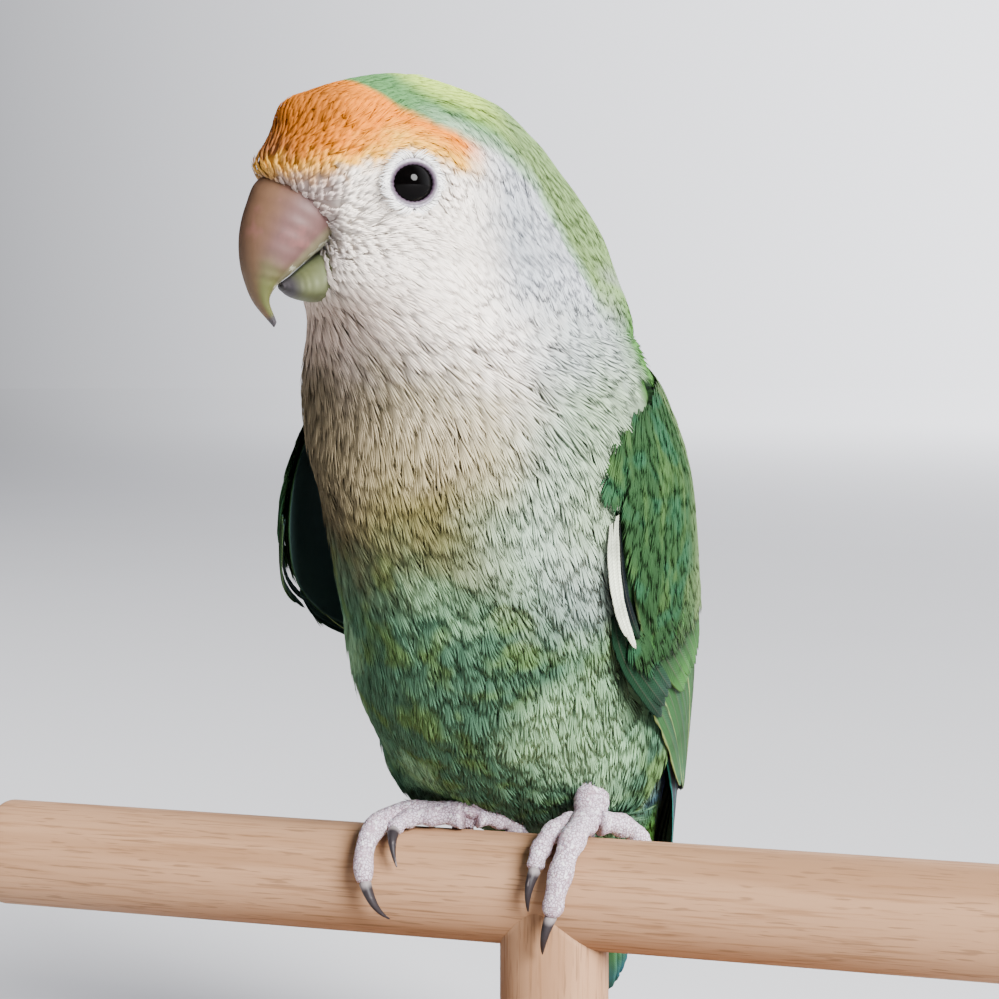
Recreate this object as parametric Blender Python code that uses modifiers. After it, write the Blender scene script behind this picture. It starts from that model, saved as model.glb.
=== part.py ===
"""A peach-faced lovebird, life size, standing still on a short wooden T perch with a flat base.

Run it with blender --background --python part.py, or from Blender's text editor.
World frame: metres, +Z up, the origin at the centre of the base's underside. The perch lies along X and
the bird faces -Y, with its head turned to its right. The bird's own left is +X.
"""

import math

import bmesh
import bpy
import numpy as np
from mathutils import Matrix

MM = 0.001

# Stand and perch
PERCH_RADIUS = 7.5 * MM
PERCH_LENGTH = 170 * MM
PERCH_HEIGHT = 40 * MM  # the perch's axis above the floor
POST_RADIUS = 7.3 * MM
BASE_RADIUS = 58 * MM
BASE_THICKNESS = 8 * MM
EDGE_ROUNDING = 1.2 * MM
CLEARANCE = 0.3 * MM  # what neighbouring pieces keep between them

# Bird
BIRD_X = -9 * MM  # the bird stands a little to its right of the post
RING_POINTS = 32
SECTION_SQUARENESS = 2.15  # 2 is an ellipse

# Sections of the body from below the tail to the neck, in millimetres from the perch's axis: across, back,
# up, tilt in degrees, turn to the bird's right in degrees, half width, reach in front, reach behind
BODY_SECTIONS = (
    (1.5, 45, -16, 25, 0, 0, 0, 0),
    (1.2, 38, -5, 25, 0, 7.5, 6, 5),
    (0.6, 30, 7, 27, 0, 13, 12, 7.5),
    (0, 19, 20, 28, 0, 19.4, 20.5, 12),
    (0.7, 9, 33, 28, 0, 22, 25, 16.5),
    (2.5, 0, 46, 26, 0, 22.2, 25.5, 20),
    (2.2, -4, 58, 20, 5, 22, 26, 21.4),
    (-0.8, -6, 68, 11, 16, 23.4, 19.6, 22),
)
# Sections of the head, in millimetres from the point between the eyes: forward, up, turn, half width,
# reach in front, reach behind
HEAD_CENTRE = (-7.5, -19.3, 93.6)
HEAD_SECTIONS = (
    (-8.0, -17.6, 33, 19.2, 16.2, 26.8),
    (-6.5, -12, 42, 19.0, 16.0, 25.2),
    (-5.8, -7, 47, 16.4, 14.6, 23.9),
    (-5.2, -3, 48.7, 15.2, 17.4, 22),
    (-4.6, 1.5, 48.7, 14.8, 21, 19),
    (-3.4, 6.2, 48.7, 13.2, 18, 16.2),
    (-1.6, 11, 48.7, 9.6, 13.3, 12),
    (-1.6, 14.3, 48.7, 0, 0, 0),
)
HEAD_TURN = 48.7
TAIL_STATION = 1.7  # where the tail is parted from the torso, counted in sections
NECK_STATION = 6.7
HEAD_STATION = 8.2
POLE_TRIM = 0.05  # how far short of a closing point the last ring stands, counted in sections

# Eyes, in millimetres from the point between them: forward, to the side, up
EYE_PLACE = (0.6, 12.1, -0.5)
EYE_RADIUS = 3.4 * MM
LID_PLACE = (0.6, 14.3, -0.5)
LID_RADIUS = 2.95 * MM
LID_THICKNESS = 0.5 * MM

# Bill sections, in millimetres from the point between the eyes: forward and up of the upper point, forward
# and up of the lower point, half width
UPPER_BILL = (
    (11.5, 2.0, 2.5, -4.0, 6.0),
    (16.2, 0.6, 5.5, -6.2, 6.3),
    (17.9, -2.6, 8.0, -7.9, 6.2),
    (18.8, -6.2, 10.4, -9.8, 5.6),
    (18.8, -9.6, 12.6, -11.6, 4.6),
    (18.2, -12.4, 14.3, -13.0, 3.3),
    (17.0, -15.2, 15.2, -14.8, 2.0),
    (14.5, -18.2, 14.2, -17.4, 0.5),
)
LOWER_BILL = (
    (3.0, -8.6, 1.5, -13.6, 5.0),
    (7.0, -7.8, 5.8, -14.8, 5.4),
    (10.0, -9.8, 9.4, -15.0, 4.8),
    (12.2, -11.6, 11.9, -14.5, 3.5),
    (13.7, -12.6, 13.4, -13.6, 1.4),
)
NOSTRIL_PLACE = (14.9, 2.9, 1.0)
NOSTRIL_RADIUS = 0.6 * MM

# The surface that a folded wing lies in, from the shoulder to the tip, in millimetres from the perch's axis
# and the middle of the back: across, back, up, tilt, half width, reach in front, reach behind, the angle in
# degrees at which the front edge lies, and for the right wing how far that is swept back and held out
WING_SECTIONS = (
    (-1.0, -5, 66, 18, 24.8, 23, 25, 80, 0, 2.6),
    (2.0, -1.5, 54, 24, 25.2, 27, 24, 56, 0, 3.2),
    (2.2, 4.5, 41.5, 27, 24.8, 28, 21.5, 52, 17, 2.4),
    (1.3, 13, 28, 28, 23.6, 26, 18, 64, 28, 0),
    (0.6, 22.5, 14.5, 28, 20.0, 20.5, 13.5, 77, 9, 0),
    (0.6, 31.5, 1, 27, 16.0, 13, 9.5, 88, 0, 0),
    (1.0, 40, -12.5, 26, 12.0, 8, 7, 92, 0, 0),
)
WING_LENGTH = 94.0  # millimetres along the wing from the shoulder to the longest tip
WING_MIRROR_X = -7.8 * MM  # the right wing is the left one's mirror image in this plane
WING_HELD_OUT_WIDTH = 55.0  # millimetres across over which the held-out front edge comes back to the body
# The smooth part of the wing in its own plan, in millimetres: along, front edge, back edge
WING_CORE = (
    (2, 3, 23),
    (8, 0.5, 34.5),
    (20, 0.5, 43),
    (34, 1.0, 43),
    (48, 2.0, 36),
    (58, 4.5, 28),
)
WING_CORE_OUT = -1.0  # where its outer face lies, in millimetres from the wing's surface
WING_CORE_THICKNESS = 2.4
WING_RINGS = 12
VANE_THICKNESS = 0.5 * MM
WELD_DISTANCE = 0.01 * MM  # points of a union that lie closer than this become one
# Tiers of vanes in the wing's plan, in millimetres: how many, then for the front and the back one the root's
# across and along, the tip's across and along; width, depth of the roots and of the tips below the surface,
# and rise of the front edge for each millimetre across at the tip
WING_TIERS = (
    (6, (3.5, 46, 4.5, 93), (15, 44, 16, 70), 5.4, -2.1, -1.5, 0.16),
    (7, (5, 33, 6, 60), (34, 30, 20.5, 74), 7.4, -2.0, -0.9, 0.13),
    (6, (4, 18, 4.5, 44), (39.5, 15, 36, 39), 8.8, -1.9, -0.3, 0.12),
)
VANE_ROWS = (0, 0.45, 0.86, 1)  # shares of a vane's length, with its width there
VANE_SHARES = (0.6, 1.0, 0.84, 0.3)
VANE_CAMBER = 0.22  # how much a vane's middle stands over its edges, in millimetres

# Toes: for each, its root, its bend and its tip round the perch (across in millimetres from the post and
# degrees from the top, 90 in front), its radius, and its claw's tip with its distance from the perch's axis
TOES = {
    "left": {
        "front_outer": ((4.6, 4), (4.4, 50), (3.2, 97), 1.8, (1.6, 127, 10.6)),
        "front_inner": ((2.6, 2), (0.8, 34), (0.4, 62), 1.5, (-0.4, 96, 8.6)),
        "back_outer": ((6.2, -4), (9.0, -34), (10.2, -74), 1.6, (10.6, -106, 8.6)),
        "back_inner": ((3.6, -8), (2.4, -34), (1.8, -60), 1.4, (1.5, -90, 8.6)),
    },
    "right": {
        "front_outer": ((-13.0, 0), (-22.6, 18), (-23.6, 82), 1.7, (-20.8, 114, 8.6)),
        "front_inner": ((-13.0, 4), (-19.0, 10), (-21.2, 34), 1.45, (-19.6, 66, 8.6)),
        "back_outer": ((-12.5, -6), (-15.5, -34), (-16.5, -76), 1.6, (-17.0, -108, 8.6)),
        "back_inner": ((-11.5, -6), (-8.5, -30), (-7.6, -58), 1.4, (-7.2, -88, 8.6)),
    },
}
TOE_STEPS = 7
CLAW_RADIUS = 0.95 * MM
CLAW_STEPS = 6
CLAW_ARCH = 0.7  # millimetres
# Ankles, in millimetres: across and back of the joint over the perch, then how far the shank runs back and
# up into the thigh
ANKLES = {"left": (4.6, 1.0, 4.0, 8.5), "right": (-12.6, 1.5, 4.0, 8.5)}
ANKLE_RADIUS = 2.4 * MM

# Thighs: middle and half sizes in millimetres from the perch's axis and the bird's middle
THIGHS = {
    "left": ((13.2, 10.0, 22.0), (8.0, 11.0, 13.0)),
    "right": ((-11.6, 10.0, 22.0), (8.0, 11.0, 13.0)),
}

# Tail: sections as BODY_SECTIONS, from its tip to the torso, and those of its smooth part
TAIL_SECTIONS = (
    (-1.8, 51, -24, 30, 0, 2.4, 0.8, 0.9),
    (-1.6, 49.2, -20.4, 30, 0, 4.5, 1.1, 1.2),
    (-1.2, 46.6, -15.6, 30, 0, 5.9, 1.6, 1.7),
    (-0.4, 43.4, -10.4, 29, 0, 6.7, 2.8, 2.8),
    (0.4, 40.2, -5.8, 28, 0, 7.2, 4.6, 4.4),
    (0.9, 36, 0, 27, 0, 9.0, 7.6, 6.0),
)
TAIL_CORE = (
    (-0.9, 45.5, -13.4, 30, 0, 4.2, 0.8, 0.9),
    (-0.5, 43.6, -10.6, 29, 0, 5.8, 2.1, 1.9),
    (0.4, 40.2, -5.8, 28, 0, 7.0, 4.6, 4.0),
    (0.9, 36, 0, 27, 0, 9.0, 7.6, 6.0),
)
TAIL_BASE = (0.8, 39.0, -3.5)  # where the tail feathers' line starts, and where it ends
TAIL_END = (-1.8, 51.2, -24.2)
TAIL_PAIRS = 5
TAIL_VANE_WIDTH = 4.4

COLOURS = {
    "crown": ((0.52, 0.62, 0.36), 0.8),
    "breast": ((0.62, 0.62, 0.50), 0.8),
    "green": ((0.22, 0.42, 0.22), 0.8),
    "wing": ((0.10, 0.30, 0.13), 0.7),
    "tail": ((0.16, 0.36, 0.34), 0.7),
    "bill": ((0.70, 0.52, 0.42), 0.4),
    "foot": ((0.66, 0.58, 0.60), 0.6),
    "claw": ((0.07, 0.06, 0.07), 0.35),
    "eye": ((0.01, 0.01, 0.012), 0.05),
    "wood": ((0.76, 0.60, 0.44), 0.6),
}


def clear_scene():
    """Removes whatever the file opened with."""
    for obj in list(bpy.data.objects):
        bpy.data.objects.remove(obj, do_unlink=True)


def new_collection(name):
    collection = bpy.data.collections.new(name)
    bpy.context.scene.collection.children.link(collection)
    return collection


def material(name):
    """The named finish, made once."""
    found = bpy.data.materials.get(name)
    if found:
        return found
    colour, roughness = COLOURS[name]
    made = bpy.data.materials.new(name)
    made.use_nodes = True
    shader = made.node_tree.nodes["Principled BSDF"]
    shader.inputs["Base Color"].default_value = (*colour, 1)
    shader.inputs["Roughness"].default_value = roughness
    return made


def object_of(name, shape, finish, collection):
    """A triangulated mesh object from a bmesh, which is freed."""
    bmesh.ops.triangulate(shape, faces=shape.faces)
    mesh = bpy.data.meshes.new(name)
    shape.to_mesh(mesh)
    shape.free()
    obj = bpy.data.objects.new(name, mesh)
    obj.data.materials.append(material(finish))
    collection.objects.link(obj)
    return obj


def loft(name, rings, finish, collection):
    """A closed surface through rings of equal count, each end closed by a fan to its middle."""
    rings = np.asarray(rings, float)
    count, around = rings.shape[:2]
    shape = bmesh.new()
    verts = [[shape.verts.new(p) for p in ring] for ring in rings]
    for ring, following in zip(verts, verts[1:]):
        for j in range(around):
            k = (j + 1) % around
            shape.faces.new((ring[j], ring[k], following[k], following[j]))
    for ring, points in ((verts[0], rings[0]), (verts[-1], rings[-1])):
        middle = shape.verts.new(points.mean(0))
        for j in range(around):
            shape.faces.new((ring[j], ring[(j + 1) % around], middle))
    bmesh.ops.recalc_face_normals(shape, faces=shape.faces)
    return object_of(name, shape, finish, collection)


def tube(name, path, radii, finish, collection):
    """A curve with a round bevel whose radius changes along the path, made a mesh with its caps welded."""
    curve = bpy.data.curves.new(name, "CURVE")
    curve.dimensions = "3D"
    curve.bevel_depth = 1
    curve.bevel_resolution = 2
    curve.use_fill_caps = True
    spline = curve.splines.new("POLY")
    spline.points.add(len(path) - 1)
    for point, place, radius in zip(spline.points, path, radii):
        point.co = (*place, 1)
        point.radius = radius
    guide = bpy.data.objects.new(name, curve)
    collection.objects.link(guide)
    graph = bpy.context.evaluated_depsgraph_get()
    mesh = bpy.data.meshes.new_from_object(guide.evaluated_get(graph))
    shape = bmesh.new()
    shape.from_mesh(mesh)
    bmesh.ops.remove_doubles(shape, verts=shape.verts, dist=0.001 * MM)
    bmesh.ops.recalc_face_normals(shape, faces=shape.faces)
    bpy.data.meshes.remove(mesh)
    bpy.data.objects.remove(guide, do_unlink=True)
    bpy.data.curves.remove(curve)
    return object_of(name, shape, finish, collection)


def ball(name, centre, radii, finish, collection, segments=16):
    """An ellipsoid from Blender's sphere primitive."""
    shape = bmesh.new()
    place = Matrix.Translation(centre) @ Matrix.Diagonal((*radii, 1))
    bmesh.ops.create_uvsphere(shape, u_segments=segments, v_segments=segments // 2, radius=1, matrix=place)
    return object_of(name, shape, finish, collection)


def cylinder(name, radius, length, place, finish, collection, segments=32, rounding=0.0):
    """A cylinder about the local Z axis, its rims rounded by a bevel."""
    shape = bmesh.new()
    bmesh.ops.create_cone(
        shape, cap_ends=True, segments=segments, radius1=radius, radius2=radius, depth=length, matrix=place
    )
    if rounding:
        rims = [e for e in shape.edges if any(len(f.verts) > 4 for f in e.link_faces)]
        bmesh.ops.bevel(shape, geom=rims, offset=rounding, segments=2, profile=0.5, affect="EDGES")
    return object_of(name, shape, finish, collection)


def apply_boolean(target, operation, others):
    """Joins or cuts target with every object of a list, then removes those objects."""
    group = bpy.data.collections.new("operands")
    for other in others:
        group.objects.link(other)
    modifier = target.modifiers.new("boolean", "BOOLEAN")
    modifier.operation = operation
    modifier.operand_type = "COLLECTION"
    modifier.collection = group
    modifier.solver = "MANIFOLD"
    graph = bpy.context.evaluated_depsgraph_get()
    result = bpy.data.meshes.new_from_object(target.evaluated_get(graph))
    target.modifiers.clear()
    old = target.data
    target.data = result
    bpy.data.meshes.remove(old)
    for other in others:
        bpy.data.objects.remove(other, do_unlink=True)
    bpy.data.collections.remove(group)


def surfaces_of(shape):
    """The separate closed surfaces of a bmesh, each as a set of faces that meet along edges."""
    unseen = set(shape.faces)
    groups = []
    while unseen:
        stack = [unseen.pop()]
        group = set(stack)
        while stack:
            for edge in stack.pop().edges:
                for face in edge.link_faces:
                    if face in unseen:
                        unseen.discard(face)
                        group.add(face)
                        stack.append(face)
        groups.append(group)
    return groups


def keep_largest_surface(obj):
    """Drops every closed surface of the object but the one with the most volume."""
    shape = bmesh.new()
    shape.from_mesh(obj.data)
    bmesh.ops.remove_doubles(shape, verts=shape.verts, dist=WELD_DISTANCE)
    bmesh.ops.triangulate(shape, faces=shape.faces)

    def volume(group):
        corners = [[vert.co for vert in face.verts] for face in group]
        return sum(a.dot(b.cross(c)) for a, b, c in corners)

    groups = surfaces_of(shape)
    largest = max(groups, key=volume)
    bmesh.ops.delete(shape, geom=[face for face in shape.faces if face not in largest], context="FACES")
    shape.to_mesh(obj.data)
    shape.free()
    return obj


def join(name, pieces):
    """One closed body from overlapping closed pieces."""
    first, others = pieces[0], pieces[1:]
    first.name = name
    apply_boolean(first, "UNION", others)
    return keep_largest_surface(first)


def cut(target, rooms):
    """target with the space of the given objects taken out of it."""
    apply_boolean(target, "DIFFERENCE", rooms)
    return keep_largest_surface(target)


def through(rows, at):
    """Values at fractional stations on the Catmull-Rom curve through all rows. Where the last three values
    of an end row are zero, the sizes run on through it with their sign changed, which rounds that end."""
    rows = np.asarray(rows, float)
    before, after = 2 * rows[0] - rows[1], 2 * rows[-1] - rows[-2]
    if not rows[0, -3:].any():
        before = np.concatenate([rows[1, :-3], -rows[1, -3:]])
    if not rows[-1, -3:].any():
        after = np.concatenate([rows[-2, :-3], -rows[-2, -3:]])
    rows = np.vstack([before, rows, after])
    at = np.atleast_1d(np.asarray(at, float))
    whole = np.clip(np.floor(at).astype(int), 0, len(rows) - 4)
    s = (at - whole)[:, None]
    a, b, c, d = (rows[whole + k] for k in range(4))
    return 0.5 * (2 * b + (c - a) * s + (2 * a - 5 * b + 4 * c - d) * s**2 + (3 * b - a - 3 * c + d) * s**3)


def head_point(forward, left, up):
    """World point from millimetres in the head's own axes, from between the eyes."""
    turn = math.radians(HEAD_TURN)
    x, y, z = HEAD_CENTRE
    x += left * math.cos(turn) - forward * math.sin(turn)
    y -= left * math.sin(turn) + forward * math.cos(turn)
    return np.array([x * MM + BIRD_X, y * MM, (z + up) * MM + PERCH_HEIGHT])


def body_table():
    """All sections from the tail's end to the crown in one table, as BODY_SECTIONS."""
    rows = [list(row) for row in BODY_SECTIONS]
    for forward, up, *rest in HEAD_SECTIONS:
        place = (head_point(forward, 0, up) - np.array([BIRD_X, 0, PERCH_HEIGHT])) / MM
        rows.append([*place, 0, *rest])
    return rows


def section_points(rows, angles, grow=0.0):
    """Points round each section, in metres. A section is a superellipse whose front and back halves have
    their own reach: forward = reach * cos(angle), left = width * sin(angle), tilted and turned."""
    tilt, turn = np.radians(rows[:, 3]), np.radians(rows[:, 4])
    ahead = np.stack([-np.sin(turn) * np.cos(tilt), -np.cos(turn) * np.cos(tilt), -np.sin(tilt)], 1)
    left = np.stack([np.cos(turn), -np.sin(turn), 0 * turn], 1)
    c, s = np.cos(angles), np.sin(angles)
    k = (np.abs(c) ** SECTION_SQUARENESS + np.abs(s) ** SECTION_SQUARENESS) ** (-1 / SECTION_SQUARENESS)
    reach = (np.where(c > 0, rows[:, 6:7], rows[:, 7:8]) * MM + grow) * c * k
    across = (rows[:, 5:6] * MM + grow) * s * k
    middle = rows[:, :3] * MM + np.array([BIRD_X, 0, PERCH_HEIGHT])
    return middle[:, None] + ahead[:, None] * reach[..., None] + left[:, None] * across[..., None]


def section_rings(table, first, last, count, grow=0.0):
    """Rings between two stations of a table of sections."""
    angles = np.linspace(0, 2 * math.pi, RING_POINTS, endpoint=False)
    rows = through(table, np.linspace(first, last, count))
    return section_points(rows, angles, grow)


def moved_towards(ring, target, distance):
    """A flat ring moved along its own normal, to the side where the target ring lies."""
    quarter = RING_POINTS // 4
    normal = np.cross(ring[quarter] - ring[0], ring[2 * quarter] - ring[0])
    normal /= np.linalg.norm(normal)
    side = math.copysign(1, (target.mean(0) - ring.mean(0)) @ normal)
    return ring + normal * side * distance


def torso_room(collection):
    """The torso's space with the clearance round it, running on past its cut ends."""
    rings = section_rings(body_table(), 2 * POLE_TRIM, HEAD_STATION, 20, CLEARANCE)
    return loft("room", rings, "green", collection)


def bill_rings(table, grow=0.0):
    """Rings of a bill: each is an ellipse between an upper and a lower profile point, with the table's half
    width, drawn in a little towards its upper end."""
    around = 12
    rings = []
    for upper_forward, upper_up, lower_forward, lower_up, width in table:
        middle = np.array([upper_forward + lower_forward, upper_up + lower_up]) / 2
        half = np.array([upper_forward - lower_forward, upper_up - lower_up]) / 2
        half *= 1 + grow / np.linalg.norm(half)
        ring = []
        for angle in np.linspace(0, 2 * math.pi, around, endpoint=False):
            forward, up = middle + half * math.cos(angle)
            taper = 1 - 0.12 * math.cos(angle)
            ring.append(head_point(forward, (width + grow) * math.sin(angle) * taper, up))
        rings.append(ring)
    return rings


def make_bills(pieces, cutters):
    """The two halves of the bill with the nostrils pressed in, the lower half cut clear of the upper."""
    upper = loft("bill_upper", bill_rings(UPPER_BILL), "bill", pieces)
    lower = loft("bill_lower", bill_rings(LOWER_BILL), "bill", pieces)
    cut(lower, [loft("room", bill_rings(UPPER_BILL, CLEARANCE / MM), "bill", cutters)])
    forward, side, up = NOSTRIL_PLACE
    holes = [head_point(forward, side, up), head_point(forward, -side, up)]
    cut(upper, [ball("hole", place, [NOSTRIL_RADIUS] * 3, "bill", cutters, 8) for place in holes])


def make_eyes(pieces):
    forward, side, up = EYE_PLACE
    for name, sign in (("left", 1), ("right", -1)):
        ball(f"eye_{name}", head_point(forward, sign * side, up), [EYE_RADIUS] * 3, "eye", pieces)


def lid_ring(sign, collection):
    """The thin rim of the lids: a torus round the line that runs out of the side of the head."""
    forward, side, up = LID_PLACE
    centre = head_point(forward, sign * side, up)
    out = head_point(0, 1, 0) - head_point(0, 0, 0)
    ahead = head_point(1, 0, 0) - head_point(0, 0, 0)
    out, ahead = out / np.linalg.norm(out), ahead / np.linalg.norm(ahead)
    bpy.ops.mesh.primitive_torus_add(
        major_radius=LID_RADIUS, minor_radius=LID_THICKNESS, major_segments=20, minor_segments=6
    )
    lid = bpy.context.object
    turn = Matrix((ahead, np.cross(out, ahead), out)).transposed().to_4x4()
    lid.data.transform(Matrix.Translation(centre) @ turn)
    lid.data.materials.append(material("crown"))
    for holder in list(lid.users_collection):
        holder.objects.unlink(lid)
    collection.objects.link(lid)
    return lid


def make_trunk(pieces, cutters):
    """Torso, neck and head, modelled whole and parted with thin cuts, with sockets for the eyes and bill."""
    table = body_table()
    crown = len(table) - 1 - POLE_TRIM
    torso_rings = section_rings(table, TAIL_STATION, NECK_STATION, 16)
    neck_rings = section_rings(table, NECK_STATION, HEAD_STATION, 6)
    head_rings = section_rings(table, HEAD_STATION, crown, 16)
    neck_rings[0] = moved_towards(torso_rings[-1], neck_rings[1], CLEARANCE)
    head_rings[0] = moved_towards(neck_rings[-1], head_rings[1], CLEARANCE)
    torso = loft("torso", torso_rings, "green", pieces)
    neck = loft("neck", neck_rings, "breast", pieces)
    head = loft("head", head_rings, "crown", pieces)
    head = join("head", [head, lid_ring(1, pieces), lid_ring(-1, pieces)])
    bills = [bill_rings(profile, CLEARANCE / MM) for profile in (UPPER_BILL, LOWER_BILL)]
    rooms = [loft("room", rings, "bill", cutters) for rings in bills]
    forward, side, up = EYE_PLACE
    for sign in (1, -1):
        place = head_point(forward, sign * side, up)
        rooms.append(ball("room", place, [EYE_RADIUS + CLEARANCE] * 3, "eye", cutters))
    cut(head, rooms)
    cut(neck, [loft("room", bill_rings(LOWER_BILL, CLEARANCE / MM), "bill", cutters)])
    return torso


def perch_point(across, round_from_top, radius):
    """A point round the perch: across in millimetres from the post, degrees from the top, 90 in front."""
    angle = math.radians(round_from_top)
    return np.array([across * MM, -radius * math.sin(angle), PERCH_HEIGHT + radius * math.cos(angle)])


def toe_path(root, bend, tip, radius):
    """Points and radii of a toe: a quadratic curve over the perch through root, bend and tip, swollen a
    little at each joint and rounded off at the end."""
    path, radii = [], []
    for s in np.linspace(0, 1, TOE_STEPS):
        weights = ((1 - s) * (1 - 2 * s), 4 * s * (1 - s), s * (2 * s - 1))
        across, angle = np.array(weights) @ np.array([root, bend, tip])
        swelling = 1 + 0.08 * math.cos(6 * math.pi * s)
        rounding = 0.75 if s == 1 else 1
        path.append(perch_point(across, angle, PERCH_RADIUS + CLEARANCE + radius * 1.1))
        radii.append(radius * (1 - 0.2 * s) * swelling * rounding)
    return path, radii


def claw_path(tip, claw_tip, radius):
    """Points and radii of a claw, which starts just off the toe's end and arches to its tip."""
    start = np.array([*tip, (PERCH_RADIUS + CLEARANCE + radius * 1.1) / MM])
    path, radii = [], []
    for s in np.linspace(0, 1, CLAW_STEPS):
        across, angle, height = start * (1 - s) + np.array(claw_tip) * s
        path.append(perch_point(across, angle, (height + CLAW_ARCH * math.sin(math.pi * s)) * MM))
        radii.append(CLAW_RADIUS * (1 - 0.85 * s))
    step = path[1] - path[0]
    offset = step / np.linalg.norm(step) * 1.2 * CLEARANCE
    return [point + offset for point in path], radii


def foot_tubes(side):
    """Paths and radii of the shank and of the four toes of a foot."""
    across, back, run, rise = ANKLES[side]
    joint_height = PERCH_HEIGHT + PERCH_RADIUS + CLEARANCE + ANKLE_RADIUS
    joint = np.array([across * MM, back * MM, joint_height])
    shank = [joint + np.array([0, run, rise]) * MM * s for s in (-0.12, 0.2, 0.6, 1)]
    tubes = [(shank, [ANKLE_RADIUS * share for share in (0.8, 1, 0.9, 0.8)])]
    for root, bend, tip, radius, _ in TOES[side].values():
        tubes.append(toe_path(root, bend, tip, radius * MM))
    return tubes


def foot_room(side, collection):
    """A foot's space with the clearance round it, for what it is set into."""
    tubes = foot_tubes(side)
    shank, radii = tubes[0]
    beyond = shank[-1] + (shank[-1] - shank[-2]) / np.linalg.norm(shank[-1] - shank[-2]) * CLEARANCE
    tubes[0] = ([*shank, beyond], [*radii, radii[-1]])
    grown = [[radius + CLEARANCE for radius in radii] for _, radii in tubes]
    return [tube("room", path, radii, "foot", collection) for (path, _), radii in zip(tubes, grown)]


def make_feet(pieces):
    """Two toes in front of the perch and two behind it, joined at the ankle; each claw is its own node."""
    for side, toes in TOES.items():
        join(f"foot_{side}", [tube("toe", path, radii, "foot", pieces) for path, radii in foot_tubes(side)])
        for toe, (_, _, tip, radius, claw_tip) in toes.items():
            path, radii = claw_path(tip, claw_tip, radius * MM)
            tube(f"claw_{side}_{toe}", path, radii, "claw", pieces)


def thigh(name, side, grow, collection):
    centre, radii = THIGHS[side]
    place = np.array(centre) * MM + np.array([BIRD_X, 0, PERCH_HEIGHT])
    return ball(name, place, np.array(radii) * MM + grow, "green", collection, 20)


def make_legs(pieces, cutters, torso):
    """Feathered thighs let into the torso's sides, with sockets for the shanks of the feet."""
    for side in THIGHS:
        leg = thigh(f"leg_{side}", side, 0, pieces)
        cut(leg, foot_room(side, cutters))
        cut(torso, [thigh("room", side, CLEARANCE, cutters), *foot_room(side, cutters)])


def wing_points(side, across, along, out):
    """Points of a folded wing from its flat plan in millimetres: across from the front edge towards the
    back, along from the shoulder to the tip, and out of the surface. The right wing is the left one's mirror
    image, held out."""
    across, along, out = np.broadcast_arrays(*(np.asarray(v, float) for v in (across, along, out)))
    shape = across.shape
    across, along, out = across.ravel(), along.ravel(), out.ravel()
    rows = through(WING_SECTIONS, np.clip(along / WING_LENGTH, 0, 1) * (len(WING_SECTIONS) - 1))
    sections = np.insert(rows[:, :7], 4, 0, axis=1)
    share = 1 - across / WING_HELD_OUT_WIDTH
    swept, held_out = rows[:, 8:10].T * share if side == "right" else (0, 0)
    size = (rows[:, 4] * 2 + rows[:, 5] + rows[:, 6]) / 4
    angle = np.radians(rows[:, 7] + swept) + across / size
    out = out + held_out
    points = section_points(sections, angle[:, None], out[:, None] * MM)[:, 0]
    if side == "right":
        points[:, 0] = 2 * WING_MIRROR_X - points[:, 0]
    return points.reshape(*shape, 3)


def slab(points, thickness, finish, collection):
    """A thin closed vane: a grid of points as a triangulated sheet, given its thickness inwards."""
    shape = bmesh.new()
    verts = [[shape.verts.new(p) for p in row] for row in points]
    for row, following in zip(verts, verts[1:]):
        for k in range(len(row) - 1):
            shape.faces.new((row[k], row[k + 1], following[k + 1], following[k]))
    sheet = object_of("vane", shape, finish, collection)
    solidify = sheet.modifiers.new("thickness", "SOLIDIFY")
    solidify.thickness = thickness
    solidify.offset = -1
    graph = bpy.context.evaluated_depsgraph_get()
    result = bpy.data.meshes.new_from_object(sheet.evaluated_get(graph))
    sheet.modifiers.clear()
    sheet.data = result
    return sheet


def wing_core(side, collection):
    """The smooth part of the wing: closed rings that cross it on its outside and come back on its inside,
    thinner towards its two edges."""
    columns = 9
    t = np.linspace(0, 1, columns)
    fullness = 1 - np.abs(2 * t - 1) ** 3
    rings = []
    for along, first, last in through(WING_CORE, np.linspace(0, len(WING_CORE) - 1, WING_RINGS)):
        across = first + (last - first) * t
        outer = WING_CORE_OUT - 0.5 * (1 - fullness)
        depth = WING_CORE_THICKNESS * (0.4 + 0.6 * fullness)
        top = wing_points(side, across, along, outer)
        below = wing_points(side, across, along, outer - depth)
        rings.append(np.concatenate([top, below[::-1]]))
    return loft("core", rings, "wing", collection)


def wing_vane(side, root, tip, width, heights, lean, collection):
    """A feather of the wing: a thin vane along the line from root to tip in the wing's plan, its front edge
    raised over its neighbour's back edge and its middle over both edges."""
    s = np.array(VANE_ROWS)[:, None]
    edge = np.array([-1.0, 0.0, 1.0])[None, :]
    line = np.array(tip) - np.array(root)
    sideways = np.array([line[1], -line[0]]) / np.linalg.norm(line)
    half = width / 2 * np.array(VANE_SHARES)[:, None] * edge
    across = root[0] + line[0] * s + sideways[0] * half
    along = root[1] + line[1] * s + sideways[1] * half
    rise = heights[0] + (heights[1] - heights[0]) * s - lean * (0.5 + 0.5 * s) * half
    rise = rise + VANE_CAMBER * (1 - edge**2)
    points = wing_points(side, across, along, rise)
    if side == "right":
        points = points[:, ::-1]
    return slab(points, VANE_THICKNESS, "wing", collection)


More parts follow.
